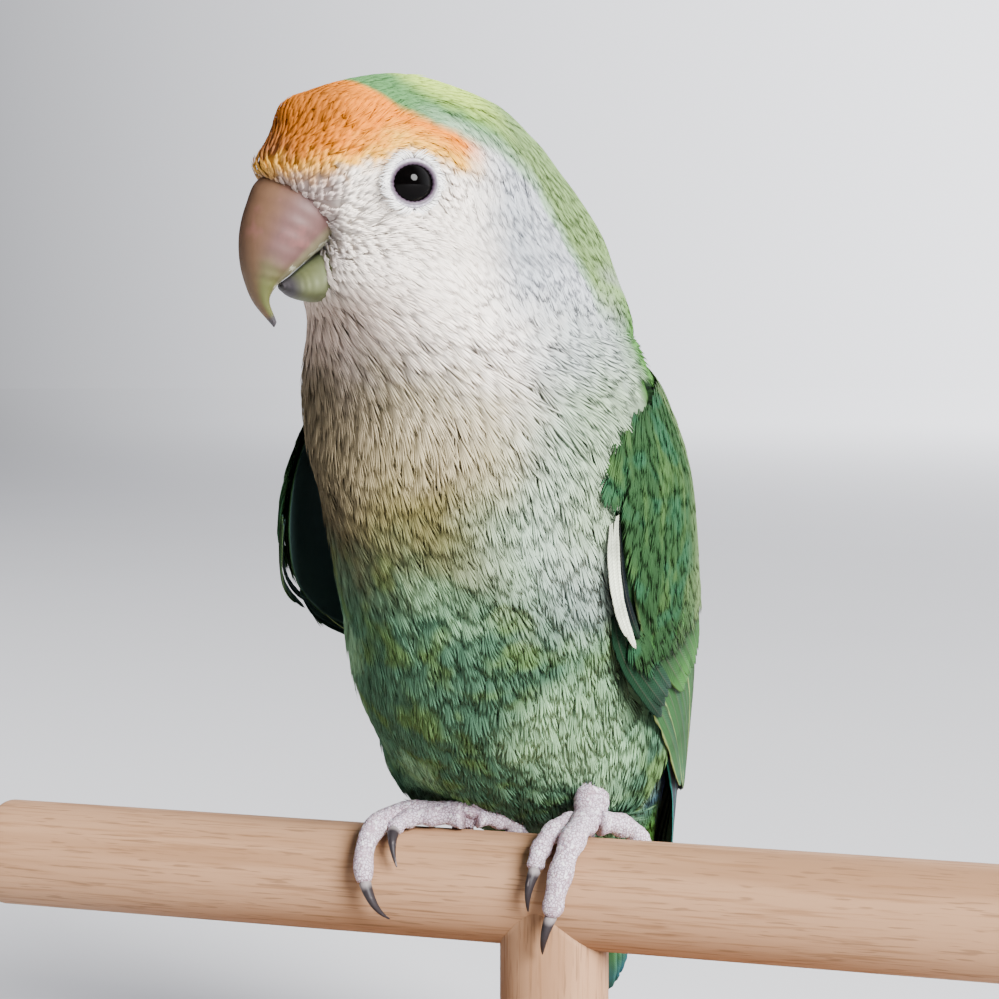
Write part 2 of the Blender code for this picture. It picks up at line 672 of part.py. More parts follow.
def wing_vanes(side, collection):
    """Every tier of vanes, each one's places worked out between those of its front and its back feather."""
    vanes = []
    for count, front, back, width, root_height, tip_height, lean in WING_TIERS:
        for k in range(count):
            t = k / (count - 1)
            place = np.array(front) * (1 - t) + np.array(back) * t
            heights = (root_height, tip_height)
            vanes.append(wing_vane(side, place[:2], place[2:], width, heights, lean, collection))
    return vanes


def make_wings(pieces, cutters):
    """The folded wings, three tiers of feathers on a smooth part, cut clear of the body."""
    for side in ("left", "right"):
        wing = join(f"wing_{side}", [wing_core(side, pieces), *wing_vanes(side, pieces)])
        rooms = [torso_room(cutters), thigh("room", side, CLEARANCE, cutters)]
        cut(wing, [*rooms, loft("room", tail_rings(TAIL_SECTIONS, CLEARANCE), "tail", cutters)])


def tail_rings(table, grow=0.0):
    """Rings of the tail from the flat cut at its root to its tip."""
    root = section_rings(body_table(), TAIL_STATION, TAIL_STATION - 0.1, 2, grow)
    root[0] = moved_towards(root[0], root[1], CLEARANCE)
    rest = section_rings(table, len(table) - 1, 0, 9, grow)
    return np.concatenate([root, rest])


def tail_vane(pair, sign, collection):
    """A tail feather: the middle pair is longest and lies on top, the outer ones step down and inwards."""
    base, end = np.array(TAIL_BASE), np.array(TAIL_END)
    line = end - base
    length = np.linalg.norm(line)
    ahead = line / length
    side = np.array([1, 0, 0]) - ahead * ahead[0]
    side /= np.linalg.norm(side)
    out = np.cross(ahead, side)
    share = pair / (TAIL_PAIRS - 1)
    reach = length * (1 - 0.32 * share**1.4)
    s = np.array(VANE_ROWS)[:, None]
    half = TAIL_VANE_WIDTH / 2 * np.array(VANE_SHARES)[:, None] * np.array([-1.0, 0.0, 1.0])[None, :]
    centre = sign * (0.8 + pair * (0.35 + 0.42 * s))
    sideways = centre + half
    drop = 0.52 * pair + (0.26 if sign < 0 else 0) + 0.012 * sideways**2
    points = base + ahead * (reach * s + 0 * half)[..., None] + side * sideways[..., None]
    points = points + out * (1.2 - drop)[..., None]
    points = points * MM + np.array([BIRD_X, 0, PERCH_HEIGHT])
    return slab(points[:, ::-1], VANE_THICKNESS, "tail", collection)


def make_tail(pieces):
    """The tail: a smooth part that runs on from the torso behind a flat cut, and five pairs of feathers."""
    core = loft("core", tail_rings(TAIL_CORE), "tail", pieces)
    vanes = [tail_vane(pair, sign, pieces) for pair in range(TAIL_PAIRS) for sign in (-1, 1)]
    join("tail", [core, *vanes])


def make_stand(pieces, cutters):
    """A round base, a short post coped to the perch, and the perch across its top."""
    sideways = Matrix.Translation((0, 0, PERCH_HEIGHT)) @ Matrix.Rotation(math.pi / 2, 4, "Y")
    cylinder("perch", PERCH_RADIUS, PERCH_LENGTH, sideways, "wood", pieces, 32, EDGE_ROUNDING)
    middle = Matrix.Translation((0, 0, BASE_THICKNESS / 2))
    cylinder("stand_base", BASE_RADIUS, BASE_THICKNESS, middle, "wood", pieces, 48, EDGE_ROUNDING)
    foot = BASE_THICKNESS + CLEARANCE
    upright = Matrix.Translation((0, 0, (foot + PERCH_HEIGHT) / 2))
    post = cylinder("stand_post", POST_RADIUS, PERCH_HEIGHT - foot, upright, "wood", pieces)
    cut(post, [cylinder("room", PERCH_RADIUS + CLEARANCE, PERCH_LENGTH, sideways, "wood", cutters)])


def main():
    clear_scene()
    pieces = new_collection("lovebird_on_perch")
    cutters = new_collection("cutters")
    make_stand(pieces, cutters)
    torso = make_trunk(pieces, cutters)
    make_bills(pieces, cutters)
    make_eyes(pieces)
    make_legs(pieces, cutters, torso)
    make_feet(pieces)
    make_wings(pieces, cutters)
    make_tail(pieces)
    bpy.data.collections.remove(cutters)


main()
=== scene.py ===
"""A life-size peach-faced lovebird that grips a short perch on a plain display stand.

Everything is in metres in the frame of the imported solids: +Z is up, the bird's breast faces -Y and its own
left is +X. The skin follows the same sections as the solids. Feathers are closed meshes worked out as
arrays.
"""

import math
import types

import bpy
import numpy as np
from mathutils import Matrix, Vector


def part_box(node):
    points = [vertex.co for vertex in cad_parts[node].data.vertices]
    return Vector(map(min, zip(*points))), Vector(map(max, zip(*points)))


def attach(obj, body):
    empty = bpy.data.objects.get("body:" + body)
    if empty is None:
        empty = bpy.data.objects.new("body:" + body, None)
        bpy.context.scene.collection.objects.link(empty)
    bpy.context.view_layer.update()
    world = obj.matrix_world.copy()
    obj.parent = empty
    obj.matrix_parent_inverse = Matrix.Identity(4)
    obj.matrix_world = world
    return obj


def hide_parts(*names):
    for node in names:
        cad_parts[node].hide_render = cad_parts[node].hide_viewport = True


bl_info = {
    "name": "Peach-faced lovebird",
    "version": (1, 0, 0),
    "blender": (4, 5, 0),
    "location": "View3D > Sidebar > Lovebird",
    "description": "A life-size still lovebird on a short perch, with its stage",
    "category": "Add Mesh",
}

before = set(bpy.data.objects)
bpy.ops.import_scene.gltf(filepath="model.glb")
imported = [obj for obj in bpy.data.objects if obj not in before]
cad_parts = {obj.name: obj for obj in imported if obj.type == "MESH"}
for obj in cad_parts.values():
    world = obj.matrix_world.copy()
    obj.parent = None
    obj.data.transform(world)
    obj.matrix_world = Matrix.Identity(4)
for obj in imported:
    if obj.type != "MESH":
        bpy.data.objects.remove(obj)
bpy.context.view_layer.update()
MM = 0.001

# Stand, from the frame
PERCH_LOW, PERCH_HIGH = (np.array(corner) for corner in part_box("perch"))
BASE_HIGH = np.array(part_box("stand_base")[1])
PERCH_RADIUS = (PERCH_HIGH[2] - PERCH_LOW[2]) / 2
PERCH_HEIGHT = (PERCH_HIGH[2] + PERCH_LOW[2]) / 2
PERCH_HALF_LENGTH = PERCH_HIGH[0]
POST_RADIUS = 7.3 * MM
CLEARANCE = 0.3 * MM

# The bird's trunk: sections from the tail's end to the neck, in millimetres from the perch's axis: across,
# back, up, tilt and turn in degrees, half width, reach in front and behind
BIRD_X = -9 * MM
SECTION_SQUARENESS = 2.15
TRUNK_SECTIONS = (
    (1.5, 45, -16, 25, 0, 0, 0, 0),
    (1.2, 38, -5, 25, 0, 7.5, 6, 5),
    (0.6, 30, 7, 27, 0, 13, 12, 7.5),
    (0, 19, 20, 28, 0, 19.4, 20.5, 12),
    (0.7, 9, 33, 28, 0, 22, 25, 16.5),
    (2.5, 0, 46, 26, 0, 22.2, 25.5, 20),
    (2.2, -4, 58, 20, 5, 22, 26, 21.4),
    (-0.8, -6, 68, 11, 16, 23.4, 19.6, 22),
)
# The head, from the throat to the crown, in millimetres from between the eyes: forward, up, turn, half
# width, reach in front and behind
HEAD_CENTRE = np.array([-16.5, -19.3, 133.6]) * MM
HEAD_TURN = 48.7
HEAD_SECTIONS = (
    (-8, -17.6, 33, 19.2, 16.2, 26.8),
    (-6.5, -12, 42, 19, 16, 25.2),
    (-5.8, -7, 47, 16.4, 14.6, 23.9),
    (-5.2, -3, 48.7, 15.2, 17.4, 22),
    (-4.6, 1.5, 48.7, 14.8, 21, 19),
    (-3.4, 6.2, 48.7, 13.2, 18, 16.2),
    (-1.6, 11, 48.7, 9.6, 13.3, 12),
    (-1.6, 14.3, 48.7, 0, 0, 0),
)
CROWN_STATION = 15.0

# Eyes and lids: forward, to the side, up, in millimetres in the head's own axes
EYE_PLACE = (0.6, 12.1, -0.5)
EYE_RADIUS = 3.4
LID_SIDE = 14.35
LID_RADIUS = 2.86
LID_THICKNESS = 0.46

# The bill's profiles: forward and up of its upper and its lower line, and half width, in millimetres
UPPER_BILL = (
    (11.5, 2.0, 2.5, -4.0, 6.0),
    (16.2, 0.6, 5.5, -6.2, 6.3),
    (17.9, -2.6, 8.0, -7.9, 6.2),
    (18.8, -6.2, 10.4, -9.8, 5.6),
    (18.8, -9.6, 12.6, -11.6, 4.6),
    (18.2, -12.4, 14.3, -13.0, 3.3),
    (17.0, -15.2, 15.2, -14.8, 2.0),
    (14.5, -18.2, 14.2, -17.4, 0.5),
)
LOWER_BILL = (
    (3.0, -8.6, 1.5, -13.6, 5.0),
    (7.0, -7.8, 5.8, -14.8, 5.4),
    (10.0, -9.8, 9.4, -15.0, 4.8),
    (12.2, -11.6, 11.9, -14.5, 3.5),
    (13.7, -12.6, 13.4, -13.6, 1.4),
)

# The surface that a folded wing lies in, from shoulder to tip: as a trunk section, without a turn, then the
# angle of the front edge in degrees, and for the right wing how far that is swept back and held out
WING_SECTIONS = (
    (-1.0, -5, 66, 18, 24.8, 23, 25, 80, 0, 2.6),
    (2.0, -1.5, 54, 24, 25.2, 27, 24, 56, 0, 3.2),
    (2.2, 4.5, 41.5, 27, 24.8, 28, 21.5, 52, 17, 2.4),
    (1.3, 13, 28, 28, 23.6, 26, 18, 64, 28, 0),
    (0.6, 22.5, 14.5, 28, 20.0, 20.5, 13.5, 77, 9, 0),
    (0.6, 31.5, 1, 27, 16.0, 13, 9.5, 88, 0, 0),
    (1.0, 40, -12.5, 26, 12.0, 8, 7, 92, 0, 0),
)
WING_LENGTH = 94.0
WING_MIRROR_X = -7.8 * MM
WING_HELD_OUT_WIDTH = 55.0
# The wing's smooth arm under its feathers, in its plan in millimetres: along, front edge, back edge
WING_ARM = ((2, 3, 23), (8, 0.8, 34), (20, 0.8, 42), (34, 1.3, 42), (48, 2.5, 35), (58, 5, 26))

# The toes: root, bend and tip round the perch (across in mm, degrees from the top, 90 in front), radius, and
# the claw's tip with its distance from the perch's axis
TOES = {
    "left": (
        ((4.6, 4), (4.4, 50), (3.2, 97), 1.8, (1.6, 127, 10.6)),
        ((2.6, 2), (0.8, 34), (0.4, 62), 1.5, (-0.4, 96, 8.6)),
        ((6.2, -4), (9, -34), (10.2, -74), 1.6, (10.6, -106, 8.6)),
        ((3.6, -8), (2.4, -34), (1.8, -60), 1.4, (1.5, -90, 8.6)),
    ),
    "right": (
        ((-13, 0), (-22.6, 18), (-23.6, 82), 1.7, (-20.8, 114, 8.6)),
        ((-13, 4), (-19, 10), (-21.2, 34), 1.45, (-19.6, 66, 8.6)),
        ((-12.5, -6), (-15.5, -34), (-16.5, -76), 1.6, (-17, -108, 8.6)),
        ((-11.5, -6), (-8.5, -30), (-7.6, -58), 1.4, (-7.2, -88, 8.6)),
    ),
}
TOE_NAMES = ("front_outer", "front_inner", "back_outer", "back_inner")
ANKLES = {"left": (4.6, 1, 4, 8.5), "right": (-12.6, 1.5, 4, 8.5)}
ANKLE_RADIUS = 2.4
THIGHS = {"left": ((13.2, 10, 22), (8, 11, 13)), "right": ((-11.6, 10, 22), (8, 11, 13))}
# Turn in radians from one thigh feather to the next, which spreads them evenly
GOLDEN_ANGLE = 2.399963

# The tail's line from under the rump to its tip, in millimetres as the trunk sections
TAIL_BASE = (0.8, 39.0, -3.5)
TAIL_END = (-1.8, 51.2, -24.2)


# Settings a user would change


def length(name, default, description):
    return bpy.props.FloatProperty(
        name=name, default=default, min=0, unit="LENGTH", precision=5, description=description
    )


def number(name, default, description, unit="NONE"):
    return bpy.props.FloatProperty(
        name=name, default=default, min=0, unit=unit, description=description
    )


def colour(name, default, description):
    return bpy.props.FloatVectorProperty(
        name=name, default=default, size=3, min=0, max=1, subtype="COLOR", description=description
    )


def group(kind, name, description):
    return bpy.props.PointerProperty(type=kind, name=name, description=description)


class CoatSettings(bpy.types.PropertyGroup):
    depth: length("Coat depth", 0.0008, "How deep the skin lies under the tips of the body feathers")
    body_pitch: length("Body pitch", 0.0019, "Distance between the roots of feathers on the body")
    head_pitch: length("Head pitch", 0.00105, "Distance between the roots of feathers on the head")
    barb_width: length("Barb width", 0.0002, "Half the width of one barb at its root")
    seed: bpy.props.IntProperty(name="Seed", default=7, min=0, description="Start of the random draws")


class PlumageColours(bpy.types.PropertyGroup):
    forehead: colour("Forehead", (0.35, 0.10, 0.008), "Deep orange over the bill")
    brow: colour("Brow", (0.74, 0.205, 0.001), "Orange-yellow over the eye")
    brow_edge: colour("Brow's edge", (0.80, 0.42, 0.05), "Paler lower edge of the brow")
    bill_base: colour("Over the bill", (0.22, 0.09, 0.04), "Brown of the feathers next to the bill")
    lore: colour("Lore", (0.26, 0.17, 0.16), "Grey-brown between bill and eye")
    mouth: colour("Mouth", (0.16, 0.13, 0.15), "Grey at the corner of the mouth")
    streak: colour("Streak", (0.22, 0.22, 0.24), "Grey streaks under the cheek")
    crown: colour("Crown", (0.08, 0.20, 0.07), "Green of the crown")
    nape: colour("Nape", (0.36, 0.50, 0.08), "Yellow-green of the nape")
    # Painted shade: a darker green that stands for the shade on the back of the head
    painted_nape_shade: colour("Low nape", (0.15, 0.23, 0.085), "Darker green of the nape's lower part")
    face: colour("Face", (0.92, 0.83, 0.74), "Warm white of face and cheeks")
    cheek: colour("Cheek", (0.42, 0.44, 0.47), "Blue-grey behind the cheeks")
    throat: colour("Throat", (0.46, 0.35, 0.285), "Peach-grey of the throat")
    breast: colour("Breast", (0.14, 0.12, 0.045), "Olive-beige of the breast")
    side_grey: colour("Side of the neck", (0.33, 0.38, 0.37), "Grey of the neck's left side")
    side_green: colour("Side of the breast", (0.25, 0.34, 0.20), "Grey-green of the breast's left side")
    beige: colour("Upper breast", (0.34, 0.275, 0.145), "Beige of the upper breast")
    # Painted shade: a darker brown-grey that stands for the shade on the breast's dim right side
    painted_side_shade: colour("Shaded side", (0.09, 0.07, 0.045), "Brown-grey of the breast's right side")
    mint: colour("Mint", (0.30, 0.42, 0.30), "Pale blue-green of the breast's left side")
    belly: colour("Belly", (0.052, 0.118, 0.07), "Green of the belly")
    leaf: colour("Leaf", (0.085, 0.15, 0.045), "Yellow-green tint of the belly")
    aqua: colour("Aqua", (0.25, 0.42, 0.23), "Pale blue-green tint of flanks and thighs")
    back: colour("Back", (0.06, 0.17, 0.035), "Green of the back")
    rump: colour("Rump", (0.05, 0.07, 0.34), "Violet-blue of the rump")
    wing: colour("Wing", (0.017, 0.046, 0.016), "Green of the wing")
    wing_warm: colour("Warm wing", (0.034, 0.075, 0.022), "Yellow-green streaks of the small wing feathers")
    wing_cool: colour("Cool wing", (0.016, 0.065, 0.032), "Blue-green streaks of the small wing feathers")
    wing_back: colour("Wing's back", (0.10, 0.15, 0.06), "Paler green of small feathers at the back")
    secondary: colour("Wing feathers", (0.022, 0.068, 0.022), "Green next to the longest feathers")
    wing_edge: colour("Wing edge", (0.30, 0.38, 0.14), "Pale edges of the wing feathers")
    flight: colour("Flight", (0.028, 0.032, 0.042), "Grey-black of the longest feathers")
    flight_edge: colour("Flight edge", (0.03, 0.30, 0.26), "Blue-green outer edge of the longest feathers")
    alula: colour("Wrist patch", (0.58, 0.62, 0.48), "White patch at the wrist")
    tail: colour("Tail", (0.05, 0.14, 0.055), "Green of the tail")
    tail_tip: colour("Tail tip", (0.03, 0.11, 0.15), "Blue-green of the tail's tip")


class HornColours(bpy.types.PropertyGroup):
    bill: colour("Bill", (0.105, 0.055, 0.05), "Pink of the upper bill")
    bill_low: colour("Bill end", (0.085, 0.09, 0.03), "Yellow-green towards the bill's tip")
    bill_ridge: colour("Bill ridge", (0.125, 0.068, 0.036), "Ochre along the bill's ridge")
    bill_lip: colour("Cutting edge", (0.36, 0.36, 0.27), "Flaky white along the cutting edge")
    bill_tip: colour("Tip", (0.05, 0.045, 0.05), "Dark of the very tip")
    foot: colour("Foot", (0.54, 0.45, 0.52), "Grey-pink of the toes")
    foot_crease: colour("Creases", (0.22, 0.145, 0.175), "Darker skin between the scales")
    claw: colour("Claw", (0.02, 0.016, 0.018), "Dark horn of the claws")
    lid: colour("Lid", (0.34, 0.31, 0.38), "Bare grey-violet rim of the lids")


class StandSettings(bpy.types.PropertyGroup):
    wood: colour("Wood", (0.35, 0.20, 0.112), "Pale bare wood")
    grain: colour("Grain", (0.22, 0.112, 0.055), "Darker lines of the wood")


class StageSettings(bpy.types.PropertyGroup):
    floor: colour("Floor", (0.64, 0.64, 0.655), "Plain pale floor")
    floor_radius: length("Floor radius", 9.0, "Radius of the round floor")
    world: number("Surround", 4.0, "Light of the pale surround")
    dim: number("Dim side", 0.02, "Share of it on the dim side")
    key: number("Key light", 290.0, "Power of the main soft light", "POWER")


class LovebirdSettings(bpy.types.PropertyGroup):
    coat: group(CoatSettings, "Coat", "Sizes of the small feathers")
    plumage: group(PlumageColours, "Plumage", "Colours of the feathers")
    horn: group(HornColours, "Bill and feet", "Colours of bare parts")
    stand: group(StandSettings, "Stand", "Colours of the wood")
    stage: group(StageSettings, "Stage", "Floor and lights")


def palette(colours):
    """A group's colours as plain tuples under their names."""
    names = type(colours).__annotations__
    return types.SimpleNamespace(**{name: tuple(getattr(colours, name)) for name in names})


# Shapes


def unit(vectors):
    """Each vector divided by its length."""
    return vectors / np.maximum(np.linalg.norm(vectors, axis=-1, keepdims=True), 1e-12)


def smooth(value, low, high):
    """0 below low, 1 above high and 3t^2 - 2t^3 between them, also with low and high the other way round."""
    t = np.clip((value - low) / (high - low), 0, 1)
    return t * t * (3 - 2 * t)


def through(rows, at):
    """Values at fractional stations on the Catmull-Rom curve through all rows. Where the last three values
    of an end row are zero, the sizes run on through it with their sign changed, which rounds that end."""
    rows = np.asarray(rows, float)
    before, after = 2 * rows[0] - rows[1], 2 * rows[-1] - rows[-2]
    if not rows[0, -3:].any():
        before = np.concatenate([rows[1, :-3], -rows[1, -3:]])
    if not rows[-1, -3:].any():
        after = np.concatenate([rows[-2, :-3], -rows[-2, -3:]])
    padded = np.vstack([before, rows, after])
    at = np.atleast_1d(at)
    first = np.clip(np.floor(at).astype(int), 0, len(rows) - 2)
    t = (at - first)[:, None]
    a, b, c, d = (padded[first + k] for k in range(4))
    return b + 0.5 * t * (c - a + t * (2 * a - 5 * b + 4 * c - d + t * (3 * (b - c) + d - a)))


def section_point(rows, angle, out):
    """A point on each row's section, a superellipse whose front and back halves have their own reach:
    forward = reach * cos(angle), left = width * sin(angle), tilted and turned, grown by out."""
    tilt, turn = np.radians(rows[:, 3]), np.radians(rows[:, 4])
    ahead = np.stack([-np.sin(turn) * np.cos(tilt), -np.cos(turn) * np.cos(tilt), -np.sin(tilt)], 1)
    left = np.stack([np.cos(turn), -np.sin(turn), 0 * turn], 1)
    c, s = np.cos(angle), np.sin(angle)
    k = (np.abs(c) ** SECTION_SQUARENESS + np.abs(s) ** SECTION_SQUARENESS) ** (-1 / SECTION_SQUARENESS)
    reach = (np.where(c > 0, rows[:, 6], rows[:, 7]) * MM + out) * c * k
    across = (rows[:, 5] * MM + out) * s * k
    middle = rows[:, :3] * MM + np.array([BIRD_X, 0, PERCH_HEIGHT])
    return middle + ahead * reach[:, None] + left * across[:, None]


def head_axes():
    """The head's own forward, left and up as unit vectors."""
    turn = math.radians(HEAD_TURN)
    forward = np.array([-math.sin(turn), -math.cos(turn), 0])
    left = np.array([math.cos(turn), -math.sin(turn), 0])
    return forward, left, np.array([0, 0, 1.0])


def head_point(forward, left, up):
    """World place of millimetres in the head's own axes: centre + forward * F + left * L + up * U."""
    forward, left, up = np.broadcast_arrays(*(np.asarray(v, float) for v in (forward, left, up)))
    return HEAD_CENTRE + np.stack([forward, left, up], -1) @ np.array(head_axes()) * MM


def in_head(places):
    """Forward, left and up in millimetres of world places: their dot products with the head's axes."""
    return np.moveaxis((places - HEAD_CENTRE) @ np.array(head_axes()).T / MM, -1, 0)


def body_rows():
    """All sections from the tail's end to the crown: the trunk's, then the head's, brought out of its own
    axes."""
    rows = [list(row) for row in TRUNK_SECTIONS]
    for forward, up, *rest in HEAD_SECTIONS:
        place = (head_point(forward, 0, up) - np.array([BIRD_X, 0, PERCH_HEIGHT])) / MM
        rows.append([*place, 0, *rest])
    return np.array(rows)


BODY_ROWS = body_rows()


def body(angle, station, out=0.0):
    """The trunk's surface: the section at each station, at each angle round it, moved outwards by out."""
    angle, station, out = np.broadcast_arrays(angle, station, out)
    rows = through(BODY_ROWS, station.ravel())
    shrink = np.minimum(1, np.abs(rows[:, 5]) / 3)
    return section_point(rows, angle.ravel(), out.ravel() * shrink).reshape(*angle.shape, 3)


def thigh(side):
    """A thigh's surface as a function: an ellipsoid, angle round the upright axis, station from 0 at its
    lowest point to 1 at its highest."""
    centre, radii = THIGHS[side]

    def shape(angle, station, out=0.0):
        angle, station, out = np.broadcast_arrays(angle, station, out)
        rise = -np.cos(station * np.pi)
        ring = np.sin(station * np.pi)
        directions = np.stack([np.sin(angle) * ring, -np.cos(angle) * ring, rise], -1)
        return np.array([BIRD_X, 0, PERCH_HEIGHT]) + np.array(centre) * MM + directions * (
            np.array(radii) * MM + out[..., None]
        )

    return shape


def wing(side):
    """A folded wing's surface as a function of its flat plan in millimetres: across from the front edge to
    the back, along from the shoulder to the tip, and out in metres. The right wing is mirrored and held
    out."""

    def shape(across, along, out=0.0):
        across, along, out = np.broadcast_arrays(*(np.asarray(v, float) for v in (across, along, out)))
        flat = across.ravel()
        stations = np.clip(along.ravel() / WING_LENGTH, 0, 1.02) * (len(WING_SECTIONS) - 1)
        rows = through(WING_SECTIONS, stations)
        share = 1 - flat / WING_HELD_OUT_WIDTH
        swept, held_out = rows[:, 8:10].T * share if side == "right" else (0, 0)
        size = (rows[:, 4] * 2 + rows[:, 5] + rows[:, 6]) / 4
        angle = np.radians(rows[:, 7] + swept) + flat / size
        sections = np.insert(rows[:, :7], 4, 0, axis=1)
        points = section_point(sections, angle, out.ravel() + held_out * MM)
        if side == "right":
            points[:, 0] = 2 * WING_MIRROR_X - points[:, 0]
        return points.reshape(*across.shape, 3)

    return shape


# Meshes


def ring_pattern(rings, sides, pointed):
    """Faces of one tube of rings, as lists of corners, and each corner's place on its unrolled side: quads
    between rings, a cap at the start, and a cap or a point at the end."""
    faces, places = [], []
    last = rings - 1 if pointed else rings
    for r in range(last - 1):
        for j in range(sides):
            k = (j + 1) % sides
            faces.append([r * sides + j, r * sides + k, (r + 1) * sides + k, (r + 1) * sides + j])
            places.append([(j, r), (j + 1, r), (j + 1, r + 1), (j, r + 1)])
    faces.append([j for j in reversed(range(sides))])
    places.append([(j, 0) for j in reversed(range(sides))])
    if pointed:
        tip = last * sides
        for j in range(sides):
            faces.append([(last - 1) * sides + j, (last - 1) * sides + (j + 1) % sides, tip])
            places.append([(j, last - 1), (j + 1, last - 1), (j + 0.5, last)])
    else:
        faces.append([(last - 1) * sides + j for j in range(sides)])
        places.append([(j, last - 1) for j in range(sides)])
    places = [np.array(place, float) / (sides, rings - 1) for place in places]
    return faces, places


def tubes(name, rings, material, pointed=False, fields=None, patch=None, inwards=False):
    """One mesh of many closed tubes. rings has the shape (tubes, rings, sides, 3); with pointed, each tube's
    last ring is one point, its mean. fields are values for each point, of the shape (tubes, rings, sides) or
    what stretches to it. patch gives each tube's place and size on the bake map: (corners, (wide, high))."""
    count, n_rings, sides, _ = rings.shape
    fields = {key: np.broadcast_to(value, rings.shape[:3]) for key, value in (fields or {}).items()}
    flat = rings.reshape(count, -1, 3)
    if pointed:
        flat = np.concatenate([flat[:, :-sides], rings[:, -1].mean(1, keepdims=True)], 1)
    per_tube = flat.shape[1]
    faces, places = ring_pattern(n_rings, sides, pointed)
    if inwards:
        faces = [face[::-1] for face in faces]
        places = [place[::-1] for place in places]
    sizes = np.array([len(face) for face in faces])
    corners = np.concatenate(faces)
    loops = (corners[None] + np.arange(count)[:, None] * per_tube).ravel()
    totals = np.tile(sizes, count)
    mesh = bpy.data.meshes.new(name)
    mesh.vertices.add(count * per_tube)
    mesh.vertices.foreach_set("co", flat.reshape(-1).astype(np.float32))
    mesh.loops.add(len(loops))
    mesh.loops.foreach_set("vertex_index", loops.astype(np.int32))
    mesh.polygons.add(len(totals))
    mesh.polygons.foreach_set("loop_start", np.concatenate([[0], np.cumsum(totals)[:-1]]).astype(np.int32))
    mesh.polygons.foreach_set("use_smooth", np.ones(len(totals), bool))
    for key, values in fields.items():
        values = values.reshape(count, -1)
        if pointed:
            values = np.concatenate([values[:, :-sides], values[:, -1:]], 1)
        layer = mesh.attributes.new(key, "FLOAT", "POINT")
        layer.data.foreach_set("value", values.reshape(-1).astype(np.float32))
    start, size = patch if patch is not None else (np.zeros((1, 2)), (1, 1))
    local = np.concatenate(places) * np.array(size)
    spread = np.broadcast_to(start, (count, 2))[:, None] + local[None]
    mesh.uv_layers.new(name="OFBake").data.foreach_set("uv", spread.reshape(-1).astype(np.float32))
    mesh.update(calc_edges=True)
    mesh.materials.append(material)
    piece = bpy.data.objects.new(name, mesh)
    bpy.context.scene.collection.objects.link(piece)
    return piece


def place_piece(piece, slot, *nodes):
    """Rides the piece on the one body, takes a slot that it does not use, and hides the solids it stands
    for.
    """
    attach(piece, "root")
    if nodes:
        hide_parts(*nodes)
    return piece


def merged(name, pieces):
    """One object from several, the first one's mesh holding them all."""
    with bpy.context.temp_override(active_object=pieces[0], selected_editable_objects=pieces):
        bpy.ops.object.join()
    pieces[0].name = name
    return pieces[0]


def round_path(path, radii, sides, up):
    """Rings round a path: centre + side * r cos + up * r sin, with side square to the path and to up."""
    tangent = unit(np.gradient(path, axis=-2))
    side = unit(np.cross(tangent, up))
    above = unit(np.cross(side, tangent))
    turn = np.linspace(0, 2 * np.pi, sides, endpoint=False)
    spokes = side[..., None, :] * np.cos(turn)[:, None] + above[..., None, :] * np.sin(turn)[:, None]
    return path[..., None, :] + spokes * np.asarray(radii)[..., None, None]


# Shader maths


class Value:
    """A socket of a material's nodes that takes part in Python expressions. Numbers add Math nodes, colours
    and vectors Vector Math nodes."""

    def __init__(self, tree, socket):
        self.tree, self.socket = tree, socket

    @property
    def wide(self):
        return self.socket.type in ("VECTOR", "RGBA")

    def _operate(self, operation, first, second):
        wide = any(isinstance(v, tuple) or (isinstance(v, Value) and v.wide) for v in (first, second))
        kind = "ShaderNodeVectorMath" if wide else "ShaderNodeMath"
        return self.tree.node(kind, {"operation": operation}, {0: first, 1: second})

    def __add__(self, other):
        return self._operate("ADD", self, other)

    def __radd__(self, other):
        return self._operate("ADD", other, self)

    def __sub__(self, other):
        return self._operate("SUBTRACT", self, other)

    def __rsub__(self, other):
        return self._operate("SUBTRACT", other, self)

    def __mul__(self, other):
        return self._operate("MULTIPLY", self, other)

    def __rmul__(self, other):
        return self._operate("MULTIPLY", other, self)

    def __truediv__(self, other):
        return self._operate("DIVIDE", self, other)

    def ramp(self, low, high, start=0.0, end=1.0):
        """start below low, end above high and a smooth step between them."""
        settings = {"interpolation_type": "SMOOTHSTEP", "clamp": True}
        values = {"Value": self, "From Min": low, "From Max": high, "To Min": start, "To Max": end}
        return self.tree.node("ShaderNodeMapRange", settings, values)

    def math(self, operation, other=0.0):
        return self._operate(operation, self, other)

    def thrice(self):
        """The value as a grey vector, to shade a colour with."""
        return self.tree.node("ShaderNodeCombineXYZ", None, {0: self, 1: self, 2: self})

    def node_length(self):
        return self.tree.node("ShaderNodeVectorMath", {"operation": "LENGTH"}, {0: self}, "Value")

    def dot(self, vector):
        settings = {"operation": "DOT_PRODUCT"}
        return self.tree.node("ShaderNodeVectorMath", settings, {0: self, 1: vector}, "Value")


